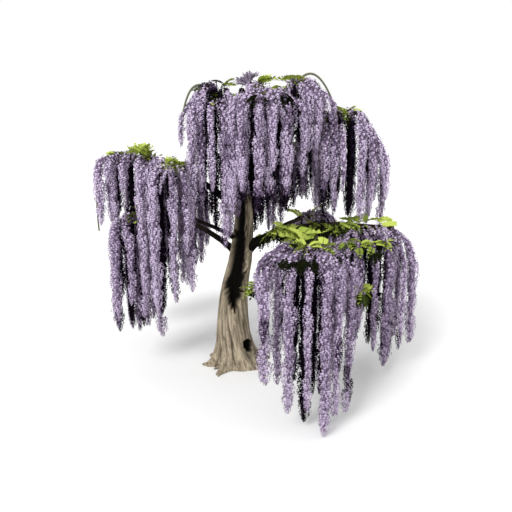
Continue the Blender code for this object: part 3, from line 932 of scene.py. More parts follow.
BOUGHS = (
    Bough("bough_low_left", "trunk", 0.71, (-0.35, 0.10, 2.02), (-1.06, -0.04, 2.27), 0.045, 0.028, 0.62),
    Bough("bough_high_left", "trunk", 0.91, (-0.35, 0.04, 2.52), (-1.02, 0.08, 2.86), 0.042, 0.026, 0.65),
    Bough("bough_mid_left", "bough_high_left", 0.42, (-0.5, -0.16, 2.68), (-0.6, -0.28, 2.76), 0.027, 0.022),
    Bough("bough_right", "trunk", 0.66, (0.34, -0.02, 1.84), (0.62, -0.34, 2.01), 0.06, 0.05),
    Bough("bough_right_front", "bough_right", 0.97, (0.74, -0.52, 2.06), (0.76, -0.84, 2.02), 0.042, 0.028),
    Bough("bough_right_far", "bough_right", 0.97, (0.98, -0.40, 2.10), (1.38, -0.24, 2.07), 0.04, 0.028),
    Bough("bough_top_left", "trunk", 0.96, (0.00, -0.08, 3.0), (-0.10, -0.14, 3.5), 0.05, 0.028),
    Bough("bough_top_front", "trunk", 0.96, (0.20, -0.26, 2.95), (0.28, -0.42, 3.45), 0.048, 0.028),
    Bough("bough_top_right", "trunk", 0.96, (0.38, -0.02, 2.95), (0.66, -0.06, 3.52), 0.05, 0.028),
    Bough("bough_top_back", "trunk", 0.96, (0.12, 0.30, 2.95), (0.16, 0.52, 3.34), 0.046, 0.028),
    Bough("bough_top_middle", "trunk", 0.97, (0.16, 0.03, 3.0), (0.2, 0.04, 3.42), 0.044, 0.026),
    Bough("bough_far_right", "bough_top_right", 0.5, (0.80, 0.06, 3.28), (1.12, 0.05, 3.42), 0.028, 0.023),
    Bough("bough_back_left", "trunk", 0.83, (-0.20, 0.50, 2.35), (-0.62, 0.84, 2.52), 0.042, 0.028),
    Bough("bough_back_left_low", "trunk", 0.63, (-0.42, 0.62, 1.86), (-1.12, 1.12, 2.0), 0.046, 0.028),
    Bough("bough_back_right_low", "trunk", 0.61, (0.42, 0.45, 1.84), (0.86, 0.8, 1.92), 0.046, 0.028),
    Bough("bough_back_right", "trunk", 0.87, (0.40, 0.42, 2.62), (0.76, 0.78, 2.94), 0.042, 0.028),
    Bough("bough_inner_right", "trunk", 0.93, (0.36, 0.26, 2.72), (0.52, 0.42, 2.86), 0.036, 0.026),
    Bough("spur", "trunk", 0.43, (0.12, -0.09, 1.10), (0.21, -0.16, 1.12), 0.024, 0.016),
)


@dataclass
class Taken:
    """The room that is already in use, as balls, each with the name of the node that it belongs to."""

    centres: Array = field(default_factory=lambda: np.zeros((0, 3)))
    radii: Array = field(default_factory=lambda: np.zeros(0))
    owners: Array = field(default_factory=lambda: np.zeros(0, dtype="<U40"))

    def add(self, points: Array, radii: Array, owner: str) -> None:
        """Adds the balls along a path.

        Args:
            points: Centres.
            radii: Radius of each.
            owner: Node that they belong to.
        """
        self.centres = np.vstack([self.centres, points])
        self.radii = np.concatenate([self.radii, radii])
        self.owners = np.concatenate([self.owners, np.full(len(points), owner)])

    def is_clear(self, points: Array, radii: Array, owner: str) -> bool:
        """Whether balls along a path stay clear of every other node.

        Args:
            points: Centres.
            radii: Radius of each.
            owner: Node that they belong to.

        Returns:
            True where every ball keeps the clearance.
        """
        others = self.owners != owner
        apart = np.linalg.norm(points[:, None] - self.centres[None, others], axis=2)
        room = apart - radii[:, None] - self.radii[None, others]
        return room.size == 0 or float(room.min()) > STRAND_CLEARANCE


@dataclass
class Strand:
    """A chain of flowers: its path, radius, how far out in its mass it hangs, and its shade in tints."""

    path: Array
    size: float
    share: float
    shade: float = 0.0

    def arch_length(self) -> float:
        """Length of the first points, which arch up and over."""
        return float(distances(self.path[:ARCH_POINTS])[-1])

    def plane(self) -> Array:
        """Normal of the upright plane that the strand arches in."""
        way = self.path[ARCH_POINTS - 1] - self.path[0]
        return unit(np.array([way[1], -way[0], 0.0]) + 1e-6)


def fullness(share: Array) -> Array:
    """Width of the flowers at shares of a strand: quick to fill, then a long taper from 0.65 on."""
    return np.minimum(0.45 + 3.5 * share, 1) * (1 - 0.8 * np.clip((share - 0.65) / 0.35, 0, 1) ** 1.5)


@dataclass(frozen=True)
class Mass:
    """A mass of foliage on a bough's tip: its stem, its footprint, its dome and its hem.

    handle     how far the stem runs straight on from the bough before it bends
    tip        the stem's end
    centre     middle of the footprint, x and y
    reach      half its width along x and along y
    crest      height towards which the strands over the centre rise
    drop       how much lower the strands turn down at the footprint's rim
    hem        height of the lowest strand's end, over the point focus
    rise       how much the hem rises per square metre away from focus
    slope      how much the hem rises per metre along x
    turn_down  how far below its crest a strand has come round to hanging straight
    whip       bend and end of a bare shoot from the stem's tip
    tone       how much darker its blossom is painted, in tints, as shade for where it hangs
    shaded     how far out its lesser strands are in shade, as a share of its reach
    lesser     seed of its lesser strands
    spread     how far out its lesser strands may hang, as a share of its reach
    """

    name: str
    bough: str
    handle: float
    tip: Triple
    centre: Pair
    reach: Pair
    crest: float
    drop: float
    hem: float
    focus: Pair
    rise: float
    slope: float
    strands: int
    leaves: int
    seed: int
    turn_down: float = 0.3
    leaf_size: float = 1.0
    whip: tuple = ()
    tone: float = 0.0
    shaded: float = 0.66
    lesser: int = 900
    spread: float = 1.0

    def stem(self, curves: dict[str, Curve]) -> Curve:
        """Start, bend and end of the stem, which runs straight on from its bough.

        Args:
            curves: Curves of the boughs.

        Returns:
            Three points.
        """
        _, bend, end = curves[self.bough]
        ahead = unit(end - bend)
        start = end + ahead * JOINT_GAP
        return start, start + ahead * self.handle, np.array(self.tip)

    def strand_path(self, stem: Curve, share: float, angle: float, lift: float, draws: Array) -> Array:
        """Path of one strand: it arches out from the stem, turns down over its place and falls to the hem.

        It leaves the outer 0.7 of the stem, a little before the point nearest to its place.

        Args:
            stem: Start, bend and end of the stem.
            share: How far out in the footprint its place is.
            angle: Which way.
            lift: How far above the hem it ends.
            draws: Three random numbers: the end's height, and where on the stem and the hem it is.

        Returns:
            The points of the arch, then as many again down the fall, less one.
        """
        place = np.array(self.centre) + share * np.array(self.reach) * (math.cos(angle), math.sin(angle))
        shares = np.linspace(0.3, 1, 29)
        nearest = shares[np.argmin(np.linalg.norm(bezier(*stem, shares)[:, :2] - place, axis=1))]
        start = bezier(*stem, [max(nearest - STEM_LEAD, STEM_BARE) + STEM_LOOSE * draws[2]])[0]
        top = self.crest - self.drop * share**2
        away = place - np.array(self.focus)
        hem = self.hem + self.rise * float(away @ away) + self.slope * away[0]
        hem = hem + HEM_UNEVEN * draws[0] ** 2 + lift
        shoulder = np.array([*place, top - self.turn_down])
        foot = np.array([*(place + FOOT_STRAY * (draws[1:3] - 0.5)), max(hem, GROUND_CLEARANCE)])
        steps = np.linspace(0, 1, ARCH_POINTS)
        arch = bezier(start, (*place, top), shoulder, steps)
        fall = shoulder + steps[1:, None] * (foot - shoulder)
        return np.vstack([arch, fall])


MASSES = (
    Mass("mass_top_left", "bough_top_left", 0.12, (-0.34, -0.2, 3.79), (-0.25, -0.22), (0.43, 0.44),
         4.02, 0.41, 1.79, (-0.06, -0.5), 1.61, -0.34, 12, 3, 11,
         whip=((-0.6, -0.3, 4.04), (-0.68, -0.3, 3.2)), lesser=902, spread=1.05),
    Mass("mass_top_middle", "bough_top_middle", 0.12, (0.18, -0.08, 3.84), (0.19, 0.02), (0.3, 0.28),
         4.02, 0.14, 2.96, (0.36, 0.0), 1.07, -0.08, 6, 6, 61, lesser=913, spread=1.25),
    Mass("mass_top_front", "bough_top_front", 0.1, (0.38, -0.62, 3.74), (0.36, -0.66), (0.41, 0.36),
         3.9, 0.12, 2.26, (0.41, -0.8), 0.39, 0.02, 12, 4, 82, lesser=906, spread=1.25),
    Mass("mass_top_right", "bough_top_right", 0.1, (0.77, -0.14, 3.86), (0.84, -0.16), (0.33, 0.42),
         4.04, 0.15, 2.68, (0.92, 0.1), 0.98, -0.18, 10, 5, 93,
         whip=((1.02, -0.12, 4.24), (1.3, -0.1, 3.5)), lesser=902, spread=1.25),
    Mass("mass_upper_right", "bough_far_right", 0.12, (1.64, 0.0, 3.5), (1.44, 0.0), (0.54, 0.46),
         3.66, 0.52, 1.98, (1.91, -0.05), 0.05, -0.2, 12, 3, 70, tone=-0.2, lesser=902, spread=1.05),
    Mass("mass_low_front", "bough_right_front", 0.12, (0.92, -1.7, 2.02), (0.79, -1.62), (0.55, 0.5),
         2.18, 0.11, -0.12, (1.05, -2.1), 1.1, -0.14, 13, 8, 59, tone=1.1),
    Mass("mass_low_right", "bough_right_far", 0.12, (2.12, -0.08, 2.0), (1.8, -0.16), (0.61, 0.48),
         2.08, 0.25, 0.23, (1.79, -0.4), 1.75, -0.8, 13, 9, 55, tone=0.9, lesser=905, spread=1.08),
    Mass("mass_mid_left", "bough_mid_left", 0.08, (-0.78, -0.6, 2.86), (-0.82, -0.42), (0.47, 0.34),
         3.09, 0.18, 0.91, (-0.93, -0.6), 0.78, 0.36, 10, 4, 77, shaded=0.25, lesser=901),
    Mass("mass_low_left", "bough_low_left", 0.12, (-1.6, -0.34, 2.02), (-1.33, -0.3), (0.36, 0.38),
         2.28, 0.14, 0.38, (-1.01, -0.3), 0.65, -0.11, 11, 3, 98, tone=1.2, lesser=911),
    Mass("mass_upper_left", "bough_high_left", 0.14, (-1.6, 0.04, 2.92), (-1.45, 0.06), (0.42, 0.42),
         3.07, 0.13, 1.94, (-1.47, 0.0), 0.45, -0.05, 12, 5, 70,
         turn_down=0.2, shaded=0.55, lesser=911, whip=((-1.92, 0.0, 3.1), (-1.86, 0.0, 1.93))),
    Mass("mass_top_back", "bough_top_back", 0.1, (0.2, 0.82, 3.6), (0.2, 0.78), (0.5, 0.38),
         3.78, 0.36, 1.62, (0.5, 0.9), 1.5, 0.0, 9, 4, 20, tone=1.0, shaded=0.9, lesser=913, spread=1.2),
    Mass("mass_back_right", "bough_back_right", 0.1, (1.08, 0.94, 3.04), (1.02, 0.98), (0.4, 0.42),
         3.2, 0.34, 2.1, (1.1, 1.0), 0.8, 0.0, 8, 4, 21, tone=1.4, spread=1.15),
    # This dome's low tone cancels its painted shade, so that it stays light in the crown's shadow.
    Mass("mass_back_right_low", "bough_back_right_low", 0.12, (1.24, 1.2, 1.94), (1.2, 1.14), (0.42, 0.5),
         2.14, 0.22, 0.42, (1.1, 1.4), 1.3, 0.0, 9, 4, 22, tone=-4.6, spread=0.85),
    Mass("mass_back_left", "bough_back_left", 0.12, (-0.9, 1.02, 2.62), (-0.86, 1.0), (0.4, 0.42),
         2.8, 0.3, 1.02, (-0.9, 1.1), 1.4, 0.0, 8, 4, 23, tone=0.6),
    Mass("mass_inner_right", "bough_inner_right", 0.1, (0.66, 0.5, 3.0), (0.64, 0.5), (0.28, 0.26),
         3.12, 0.24, 2.08, (0.6, 0.4), 1.0, 0.0, 5, 2, 26, tone=2.4, shaded=1.0, lesser=913),
    Mass("mass_back_left_low", "bough_back_left_low", 0.12, (-1.56, 1.3, 1.96), (-1.56, 1.26), (0.42, 0.46),
         2.16, 0.28, 0.42, (-1.5, 1.3), 1.4, 0.0, 8, 4, 24, tone=0.6, spread=0.82),
    Mass("trunk_sprout", "spur", 0.03, (0.28, -0.24, 1.22), (0, 0), (0, 0),
         0, 0, 0, (0, 0), 0, 0, 0, 8, 25, leaf_size=0.6),
)


@dataclass
class LeafSites:
    """Where compound leaves grow: their roots, the ways they head, their sizes and their greens."""

    roots: Array
    headings: Array
    sizes: Array
    greens: Array


@dataclass
class Growth:
    """The growth rule: every strand, whip and leaf of each mass, in the room that the others leave it.

    Room is taken by balls, so many along each curve. shades are the painted shade of inner and outer strands.
    """

    trunk: Trunk
    bough_balls: int = 25
    trunk_balls: int = 40
    stem_balls: int = 12
    whip_balls: int = 8
    strand_balls: int = 40
    leaf_balls: int = 8
    tries: int = 5
    column_radius: float = 0.085
    column_step: float = 0.38
    column_waist: float = 0.75
    bud_radius: float = 0.022
    twig_radius: float = 0.009
    bare_share: float = 0.6
    free_start: float = 0.04
    least_fall: float = 0.12
    stem_radii: Pair = (0.026, 0.013)
    whip_radii: Pair = (0.017, 0.011)
    whip_from: float = 0.9
    leaf_length: float = 0.24
    leaf_width: float = 0.1
    # Main strands nearer the middle than this share are painted in shade.
    main_inside: float = 0.42
    try_share: float = 0.05
    try_angle: float = 0.45
    minor_tries: int = 18
    minor_sizes: Pair = (0.5, 0.7)
    minor_spacings: Pair = (0.11, 0.165)
    # Painted shade, in tints, of strands inside and outside.
    shades: Pair = (4.6, 0.0)
    taken: Taken = field(default_factory=Taken)
    curves: dict[str, Curve] = field(default_factory=dict)
    stems: dict[str, Curve] = field(default_factory=dict)
    strands: dict[str, list[Strand]] = field(default_factory=dict)
    leaves: dict[str, LeafSites] = field(default_factory=dict)

    def grow(self) -> None:
        """Grows the whole tree: boughs, stems, each mass in turn, and last the lesser strands between."""
        for bough in BOUGHS:
            self.curves[bough.name] = bough.curve(self.trunk, self.curves)
            points, radii = bough.path(self.curves[bough.name], self.bough_balls)
            self.taken.add(points, radii, bough.name)
        heights = np.linspace(0, self.trunk.height, self.trunk_balls)
        self.taken.add(self.trunk.axis(heights), self.trunk.girth(math.pi / 2, heights), "trunk")
        for mass in MASSES:
            self.stems[mass.name] = mass.stem(self.curves)
            points = bezier(*self.stems[mass.name], np.linspace(0, 1, self.stem_balls))
            self.taken.add(points, np.linspace(*self.stem_radii, self.stem_balls), mass.name)
        for mass in MASSES:
            self.strands[mass.name] = self.main_strands(mass)
            if mass.whip:
                points = self.whip_path(mass, self.whip_balls)
                self.taken.add(points, np.linspace(*self.whip_radii, self.whip_balls), mass.name)
            self.leaves[mass.name] = self.stem_leaves(mass)
        for mass in MASSES:
            self.strands[mass.name] += self.minor_strands(mass)

    def whip_path(self, mass: Mass, count: int) -> Array:
        """Points along a mass's bare shoot."""
        start = bezier(*self.stems[mass.name], [self.whip_from])[0]
        return bezier(start, *mass.whip, np.linspace(0, 1, count))

    def main_strands(self, mass: Mass) -> list[Strand]:
        """The strands that the solids have, placed by a sunflower's rule.

        A strand without room is tried again further out and further round.

        Args:
            mass: The mass.

        Returns:
            The strands that had room.
        """
        draws = np.random.default_rng(mass.seed).random((mass.strands, 4))
        made = []
        for number, draw in enumerate(draws):
            for attempt in range(self.tries):
                share = min(math.sqrt((number + 0.6) / mass.strands) + self.try_share * attempt, 1)
                angle = number * GOLDEN_ANGLE + mass.seed + self.try_angle * attempt
                path = mass.strand_path(self.stems[mass.name], share, angle, 0, draw)
                size = self.column_radius * varied(draw[3])
                if self.has_room(mass, path, size):
                    made.append(Strand(path, size, share, self.shades[int(share > self.main_inside)]))
                    break
        return made

    def has_room(self, mass: Mass, path: Array, size: float) -> bool:
        """Whether a strand falls far enough and stays clear of the other nodes. If so, its room is taken.

        Its room is the solid's: a twig, a bud, and tiers of full and waisted rings down to a point.

        Args:
            mass: The mass.
            path: The strand's path.
            size: The strand's radius.

        Returns:
            True where it may grow.
        """
        length = distances(path)[-1]
        bare = self.bare_share * distances(path[:ARCH_POINTS])[-1]
        if path[-1][2] > path[ARCH_POINTS - 1][2] - self.least_fall:
            return False
        tiers = int(np.clip(round((length - bare) / self.column_step), 3, 5))
        along = np.concatenate([[0, bare / 2], np.linspace(bare, length, tiers + 1)])
        radii = np.concatenate([[self.twig_radius] * 2, size * fullness(np.linspace(0, 1, tiers + 1))])
        radii[2] = self.bud_radius
        radii[4::2] *= self.column_waist
        radii[-1] = 0
        checked = np.linspace(self.free_start, length, self.strand_balls)
        centres = interpolate(resample(path, along), along, checked)
        reach = np.interp(checked, along, radii)
        if not self.taken.is_clear(centres, reach, mass.name):
            return False
        self.taken.add(centres, reach, mass.name)
        return True

    def minor_strands(self, mass: Mass) -> list[Strand]:
        """Lesser strands between the main ones, shorter and thinner, at random places in the footprint.

        Those inside are thinner, denser and painted in shade, so that dark shows between the lit ones
        outside.

        Args:
            mass: The mass.

        Returns:
            The strands that had room.
        """
        draws = np.random.default_rng(mass.seed + mass.lesser).random((mass.strands * self.minor_tries, 7))
        places = [strand.path[ARCH_POINTS - 1, :2] for strand in self.strands[mass.name]]
        made = []
        for draw in draws:
            share = mass.spread * math.sqrt(draw[4])
            lift = 0.1 + 0.5 * draw[6] ** 1.5
            path = mass.strand_path(self.stems[mass.name], share, 2 * math.pi * draw[5], lift, draw)
            place = path[ARCH_POINTS - 1, :2]
            kind = int(share > mass.shaded)
            size = self.minor_sizes[kind] * self.column_radius * varied(draw[3])
            apart = np.linalg.norm(np.array(places) - place, axis=1).min()
            if apart > self.minor_spacings[kind] and self.has_room(mass, path, size):
                made.append(Strand(path, size, min(share, 1), self.shades[kind]))
                places.append(place)
        return made

    def stem_leaves(self, mass: Mass) -> LeafSites:
        """The leaves that the solids have, up most of the stem, each a golden angle on from the last.

        Args:
            mass: The mass.

        Returns:
            The leaves that had room.
        """
        draws = np.random.default_rng(mass.seed + LEAF_SEED).random((mass.leaves, 3))
        roots, headings, sizes = [], [], []
        for number, draw in enumerate(draws):
            root = bezier(*self.stems[mass.name], [0.14 + 0.7 * (number + draw[0]) / mass.leaves])[0]
            angle = number * GOLDEN_ANGLE
            heading = unit(np.array([math.cos(angle), math.sin(angle), 0.15 + 0.9 * draw[1]]))
            size = mass.leaf_size * (0.8 + 0.4 * draw[2])
            along = np.linspace(0.2, 1, self.leaf_balls)[:, None]
            blade = root + heading * size * self.leaf_length * along
            width = np.full(len(blade), size * self.leaf_width / 2)
            if self.taken.is_clear(blade, width, mass.name):
                self.taken.add(blade, width, mass.name)
                roots.append(root)
                headings.append(heading)
                sizes.append(size * self.leaf_length)
        return LeafSites(np.array(roots), np.array(headings), np.array(sizes), np.arange(len(roots)) % 2)


@dataclass
class Spirals:
    """Places for florets round some axes.

    axis    point on the axis
    way     the way the axis runs there
    out     how far out from it the floret stands
    share   how far along it is, which makes the floret smaller
    tone    its tone, in tints, with its painted light and shade
    number  its number, which turns it round the axis
    """

    axis: Array
    way: Array
    out: Array
    share: Array
    tone: Array
    number: Array


@dataclass
class Racemes:
    """The racemes on a strand: their roots, the ways they set off, their lengths, radii and tones."""

    roots: Array
    headings: Array
    lengths: Array
    radii: Array
    tones: Array


@dataclass
class Blossom:
    """How a strand flowers: a mantle of florets over its core, and racemes that hang from it.

    A floret has a folded banner of two triangles and, below it, a folded keel of two. Its axes are out from
    the raceme, sideways and up, and its points are given as shares of its size. Sizes of racemes are those on
    a strand of full_size.
    """

    bloom_from: float = 0.2
    full_size: float = 0.085
    step: float = 0.17
    length: float = 0.34
    radius: float = 0.053
    end_width: float = 1.4
    offset: float = 0.036
    density: float = 4300.0
    fewest: int = 8
    mantle_density: float = 1250.0
    mantle: float = 0.62
    mantle_end: float = 0.03
    floret_size: float = 0.037
    core: float = 0.40
    core_end: float = 0.06
    core_rings: int = 14
    core_sides: int = 5
    lit_shade: float = 1.5
    lobe_length: float = 0.12
    lobe_depth: float = 0.3
    end_depth: float = 0.2
    # Painted shade: florets at a strand's waists, and a few racemes at random, are painted darker.
    waist_tone: float = 1.2
    streaked: float = 0.09
    streak_tone: float = 2.2
    floret: Array = field(default_factory=lambda: np.array([
        (0.0, 0.0, 0.0),
        (0.16, 0.0, 0.62),
        (0.15, -0.5, 0.25),
        (0.15, 0.5, 0.25),
        (0.34, 0.0, -0.50),
        (0.05, -0.30, -0.26),
        (0.05, 0.30, -0.26),
    ]))
    faces: Array = field(default_factory=lambda: np.array([(0, 3, 1), (0, 1, 2), (0, 5, 4), (0, 4, 6)]))

    def hang(self, strand: Strand, tone: float, draws: np.random.Generator) -> Racemes:
        """Hangs racemes down one strand, each a golden angle on from the last, with one more at its end.

        They are smaller where the strand starts to flower, and stand closer to it near its end. A few are in
        shade, which streaks the strand.

        Args:
            strand: The strand.
            tone: Its tone, in tints.
            draws: Source of random numbers.

        Returns:
            The racemes.
        """
        whole = distances(strand.path)[-1]
        start = self.bloom_from * strand.arch_length()
        scale = strand.size / self.full_size
        last = whole - 0.8 * self.length
        count = max(int((last - start) / self.step) + 1, 1)
        places = np.append(start + (last - start) * (np.arange(count) / count), last)
        places[:-1] += self.step * 0.4 * (draws.random(count) - 0.3)
        lengths = self.length * (0.8 + 0.4 * draws.random(count + 1))
        lengths = np.minimum(lengths, whole - places)
        ahead = unit(resample(strand.path, places + 0.03) - resample(strand.path, places - 0.03))
        angles = np.arange(count + 1) * GOLDEN_ANGLE + draws.random() * 6.28
        falling = np.clip((whole - places) / (1.5 * self.length), 0.15, 1)
        sideways = np.stack([np.cos(angles), np.sin(angles), 0 * angles], axis=1)
        roots = resample(strand.path, places) + sideways * (self.offset * scale * falling)[:, None]
        grown = np.clip(0.62 + (places - start) / 0.5, 0, 1)
        radii = self.radius * scale * varied(draws.random(count + 1)) * grown
        radii[-1] *= self.end_width
        tones = tone + 0.7 * (draws.random(count + 1) - 0.5)
        # Painted shade on a few racemes, which streaks the strand.
        tones += self.streak_tone * (draws.random(count + 1) < self.streaked)
        return Racemes(roots, unit(ahead + (0, 0, -0.9)), lengths, radii, tones)

    def racemes(self, strand: Strand, tone: float, draws: np.random.Generator) -> Spirals:
        """Florets of the racemes down one strand.

        A raceme's axis sets off along the strand and curves down: root + length · ((s - s²/2) · heading +
        s²/2 · down). Florets stand out by radius · min(0.5 + 4s, 1) · (1 - 0.78 · ((s - 0.4) / 0.6)^1.6), and
        less where the strand is pinched, which is deeper near its end.

        Args:
            strand: The strand.
            tone: Its tone, in tints.
            draws: Source of random numbers.

        Returns:
            Places for florets.
        """
        hung = self.hang(strand, tone, draws)
        counts = np.maximum(self.density * hung.lengths * hung.radii, self.fewest).astype(int)
        of = np.repeat(np.arange(len(counts)), counts)
        number = np.arange(counts.sum()) - np.repeat(np.cumsum(counts) - counts, counts)
        share = ((number + 0.5) / counts[of])[:, None]
        heading = hung.headings[of]
        down = np.array([0.0, 0.0, -1.0])
        way = unit(heading * (1 - share) + down * (0.25 + share))
        curve = heading * (share - 0.5 * share**2) + down * 0.5 * share**2
        axis = hung.roots[of] + hung.lengths[of][:, None] * curve
        profile = np.minimum(0.5 + 4 * share, 1) * (1 - 0.78 * np.clip((share - 0.4) / 0.6, 0, 1) ** 1.6)
        pinched = self.pinch(axis[:, 2])
        low = 1 - smoothstep(0, 2 * self.length, axis[:, 2] - strand.path[-1][2])
        out = hung.radii[of] * profile[:, 0] * (1 - (self.lobe_depth + self.end_depth * low) * pinched)
        # Painted shade in the pinched waists.
        tones = hung.tones[of] + 0.7 * share[:, 0] ** 2 + self.waist_tone * pinched
        return Spirals(axis, way, out, share[:, 0], tones, number)

    def pinch(self, heights: Array) -> Array:
        """How far a strand's flowers draw in, 1 at a waist: (1 - |sin(π · height / lobe length)|)^1.5."""
        return (1 - np.abs(np.sin(math.pi * heights / self.lobe_length))) ** 1.5

    def mantle_of(self, strand: Strand, tone: float) -> Spirals:
        """Florets all over a strand's core, from where it starts to flower, so that its arch is covered too.

        Args:
            strand: The strand.
            tone: Its tone, in tints.

        Returns:
            Places for florets.
        """
        length = distances(strand.path)[-1]
        start = self.bloom_from * strand.arch_length()
        number = np.arange(int(self.mantle_density * (length - start) * strand.size))
        share = (number + 0.5) / len(number)
        places = start + (length - self.mantle_end - start) * share
        axis = resample(strand.path, places)
        way = unit(resample(strand.path, places + 0.02) - resample(strand.path, places - 0.02))
        out = self.mantle * strand.size * fullness(share)
        # Painted shade in the pinched waists.
        tones = tone + self.waist_tone * self.pinch(axis[:, 2])
        return Spirals(axis, way, out, 0.4 * share, tones, number)

    def florets(self, spirals: Spirals, middle: Array, draws: np.random.Generator) -> Patch:
        """A floret at each place, each turned by the golden angle from the last, and smaller towards a tip.

        It stands at 0.6 to 1.05 of the way out and faces out and slightly up, askew at random. Its size goes
        by 1.12 - 0.55 · share, and varies. Its tone rises by 0.9 for each unit that it faces inward, as
        painted shade.

        Args:
            spirals: The places.
            middle: Place, x and y, away from which the blossom is painted lightest.
            draws: Source of random numbers.

        Returns:
            The florets, finished by tint.
        """
        count = len(spirals.axis)
        across = unit(np.cross(spirals.way, (0.31, 0.93, 0.17)))
        other = np.cross(spirals.way, across)
        angle = (spirals.number * GOLDEN_ANGLE + 0.5 * draws.random(count))[:, None]
        out = np.cos(angle) * across + np.sin(angle) * other
        jitter = draws.random((count, 6))
        places = spirals.axis + out * spirals.out[:, None] * (0.6 + 0.45 * jitter[:, :1])
        facing = unit(out + 0.4 * (jitter[:, 1:4] - 0.5) + (0, 0, 0.12))
        above = unit(-spirals.way + 0.5 * (jitter[:, 3:6] - 0.5))
        above = unit(above - facing * dot(above, facing))
        frames = np.stack([facing, np.cross(above, facing), above], axis=1)
        sizes = self.floret_size * (1.12 - 0.55 * spirals.share) * varied(jitter[:, 4])
        points, triangles = repeat_shape(self.floret, self.faces, frames, places, sizes)
        # Painted light and shade: florets facing away from the middle or up are lighter, those facing in
        # darker.
        outward = dot(facing[:, :2], unit(places[:, :2] - middle))[:, 0] + np.maximum(facing[:, 2], 0)
        inward = np.clip(0.4 - outward, 0, 1.4)
        tone = spirals.tone + 0.9 * inward + 0.6 * (jitter[:, 5] - 0.5)
        banner = np.clip(np.round(tone), 0, 5)
        keel = np.clip(np.round(tone + 0.5), 1, 5)
        return Patch(points, triangles, np.stack([banner, banner, keel, keel], axis=1).ravel().astype(int))

    def cores(self, strands: list[Strand]) -> Patch:
        """Dark stalks up the middle of the strands, painted shade so that no light shows between the florets.

        Args:
            strands: The strands.

        Returns:
            One tube for each, violet, and black as painted shade in the shaded ones.
        """
        paths, radii = [], []
        shares = np.linspace(0, 1, self.core_rings)
        fill = np.minimum(0.3 + 2.2 * shares, 1) * (1 - 0.85 * np.clip((shares - 0.6) / 0.4, 0, 1))
        for strand in strands:
            length = distances(strand.path)[-1]
            start = self.bloom_from * strand.arch_length()
            paths.append(resample(strand.path, start + (length - self.core_end - start) * shares))
            radii.append(self.core * strand.size * fill)
        planes = np.array([strand.plane() for strand in strands])
        points, triangles = sweep(np.array(paths), np.array(radii), self.core_sides, planes)
        shaded = np.array([strand.shade > self.lit_shade for strand in strands])
        tints = np.where(shaded, number_of(Tint.NIGHT), number_of(Tint.VIOLET))
        return Patch(points, triangles, np.repeat(tints, len(triangles) // len(strands)))


@dataclass
class Foliage:
    """Compound leaves: a drooping stalk with leaflets in pairs and one at its end, each of four triangles."""

    leaflets: int = 9
    first_pair: float = 0.22
    leaflet_length: float = 0.5
    leaflet_width: float = 0.72
    arch: float = 0.35
    droop: float = 0.8
    roll: float = 0.7
    stalk_radius: float = 0.0022
    stalk_points: int = 5
    stalk_from: float = -0.04
    shape: Array = field(default_factory=lambda: np.array([
        (0.0, 0.0, 0.0),
        (0.40, 0.5, 0.07),
        (0.40, -0.5, 0.07),
        (0.50, 0.0, 0.0),
        (1.0, 0.0, -0.07),
    ]))
    faces: Array = field(default_factory=lambda: np.array([(0, 3, 1), (0, 2, 3), (3, 4, 1), (3, 2, 4)]))

    def sides(self, sites: LeafSites) -> tuple[Array, Array]:
        """The way to each leaf's left and the way up from its face, with the leaf rolled to one side.

        Args:
            sites: The sites.

        Returns:
            Unit vectors.
        """
        side = unit(np.cross((0.0, 0.0, 1.0), sites.headings))
        up = unit(np.cross(sites.headings, side))
        side = unit(side + self.roll * np.sin(2.4 * np.arange(len(side)))[:, None] * up)
        return side, np.cross(sites.headings, side)

    def along_stalks(self, sites: LeafSites, up: Array, shares: Array) -> Array:
        """Points of the leaves' stalks: root + length · (s · heading + (arch · s - droop · s²) · up).

        Args:
            sites: The sites.
            up: The way up from each leaf's face.
            shares: Values of s.

        Returns:
            Leaves by shares by 3.
        """
        share = shares[None, :, None]
        bow = self.arch * share - self.droop * share**2
        length = sites.sizes[:, None, None]
        return sites.roots[:, None] + length * (share * sites.headings[:, None] + bow * up[:, None])

    def leaves(self, sites: LeafSites) -> Patch:
        """The leaflets of all the leaves, largest in the middle of their stalk.

        At share s of the stalk, a leaflet heads 0.55 ahead, 0.85 aside and 0.1 - 0.45s up. The last one heads
        straight on.

        Args:
            sites: The sites.

        Returns:
            The leaflets, finished by green.
        """
        side, up = self.sides(sites)
        pair = np.arange(self.leaflets) // 2
        share = self.first_pair + (1 - self.first_pair) * pair / pair[-1]
        hand = np.where(np.arange(self.leaflets) % 2, 1.0, -1.0)
        hand[-1] = 0
        places = self.along_stalks(sites, up, share)
        ahead = unit(
            sites.headings[:, None] * np.where(hand == 0, 1.0, 0.55)[None, :, None]
            + side[:, None] * (0.85 * hand)[None, :, None]
            + up[:, None] * (0.1 - 0.45 * share)[None, :, None]
        )
        blade_up = unit(up[:, None] - ahead * dot(up[:, None], ahead))
        frames = np.stack([ahead, np.cross(blade_up, ahead), blade_up], axis=2).reshape(-1, 3, 3)
        swell = 0.65 + 0.35 * np.sin(math.pi * np.clip(share, 0, 1))
        sizes = (sites.sizes[:, None] * self.leaflet_length * swell).ravel()
        shape = self.shape * (1.0, self.leaflet_width, 1.0)
        mesh = repeat_shape(shape, self.faces, frames, places.reshape(-1, 3), sizes)
        return Patch(*mesh, np.repeat(sites.greens, self.leaflets * len(self.faces)))

    def stalks(self, sites: LeafSites) -> Patch:
        """The stalks of the leaves, as thin three-sided tubes.

        Args:
            sites: The sites.

        Returns:
            One tube for each leaf, finished as a twig.
        """
        side, up = self.sides(sites)
        paths = self.along_stalks(sites, up, np.linspace(self.stalk_from, 1, self.stalk_points))
        radii = np.full(paths.shape[:2], self.stalk_radius)
        return Patch.plain(sweep(paths, radii, 3, side), number_of(Green.TWIG))


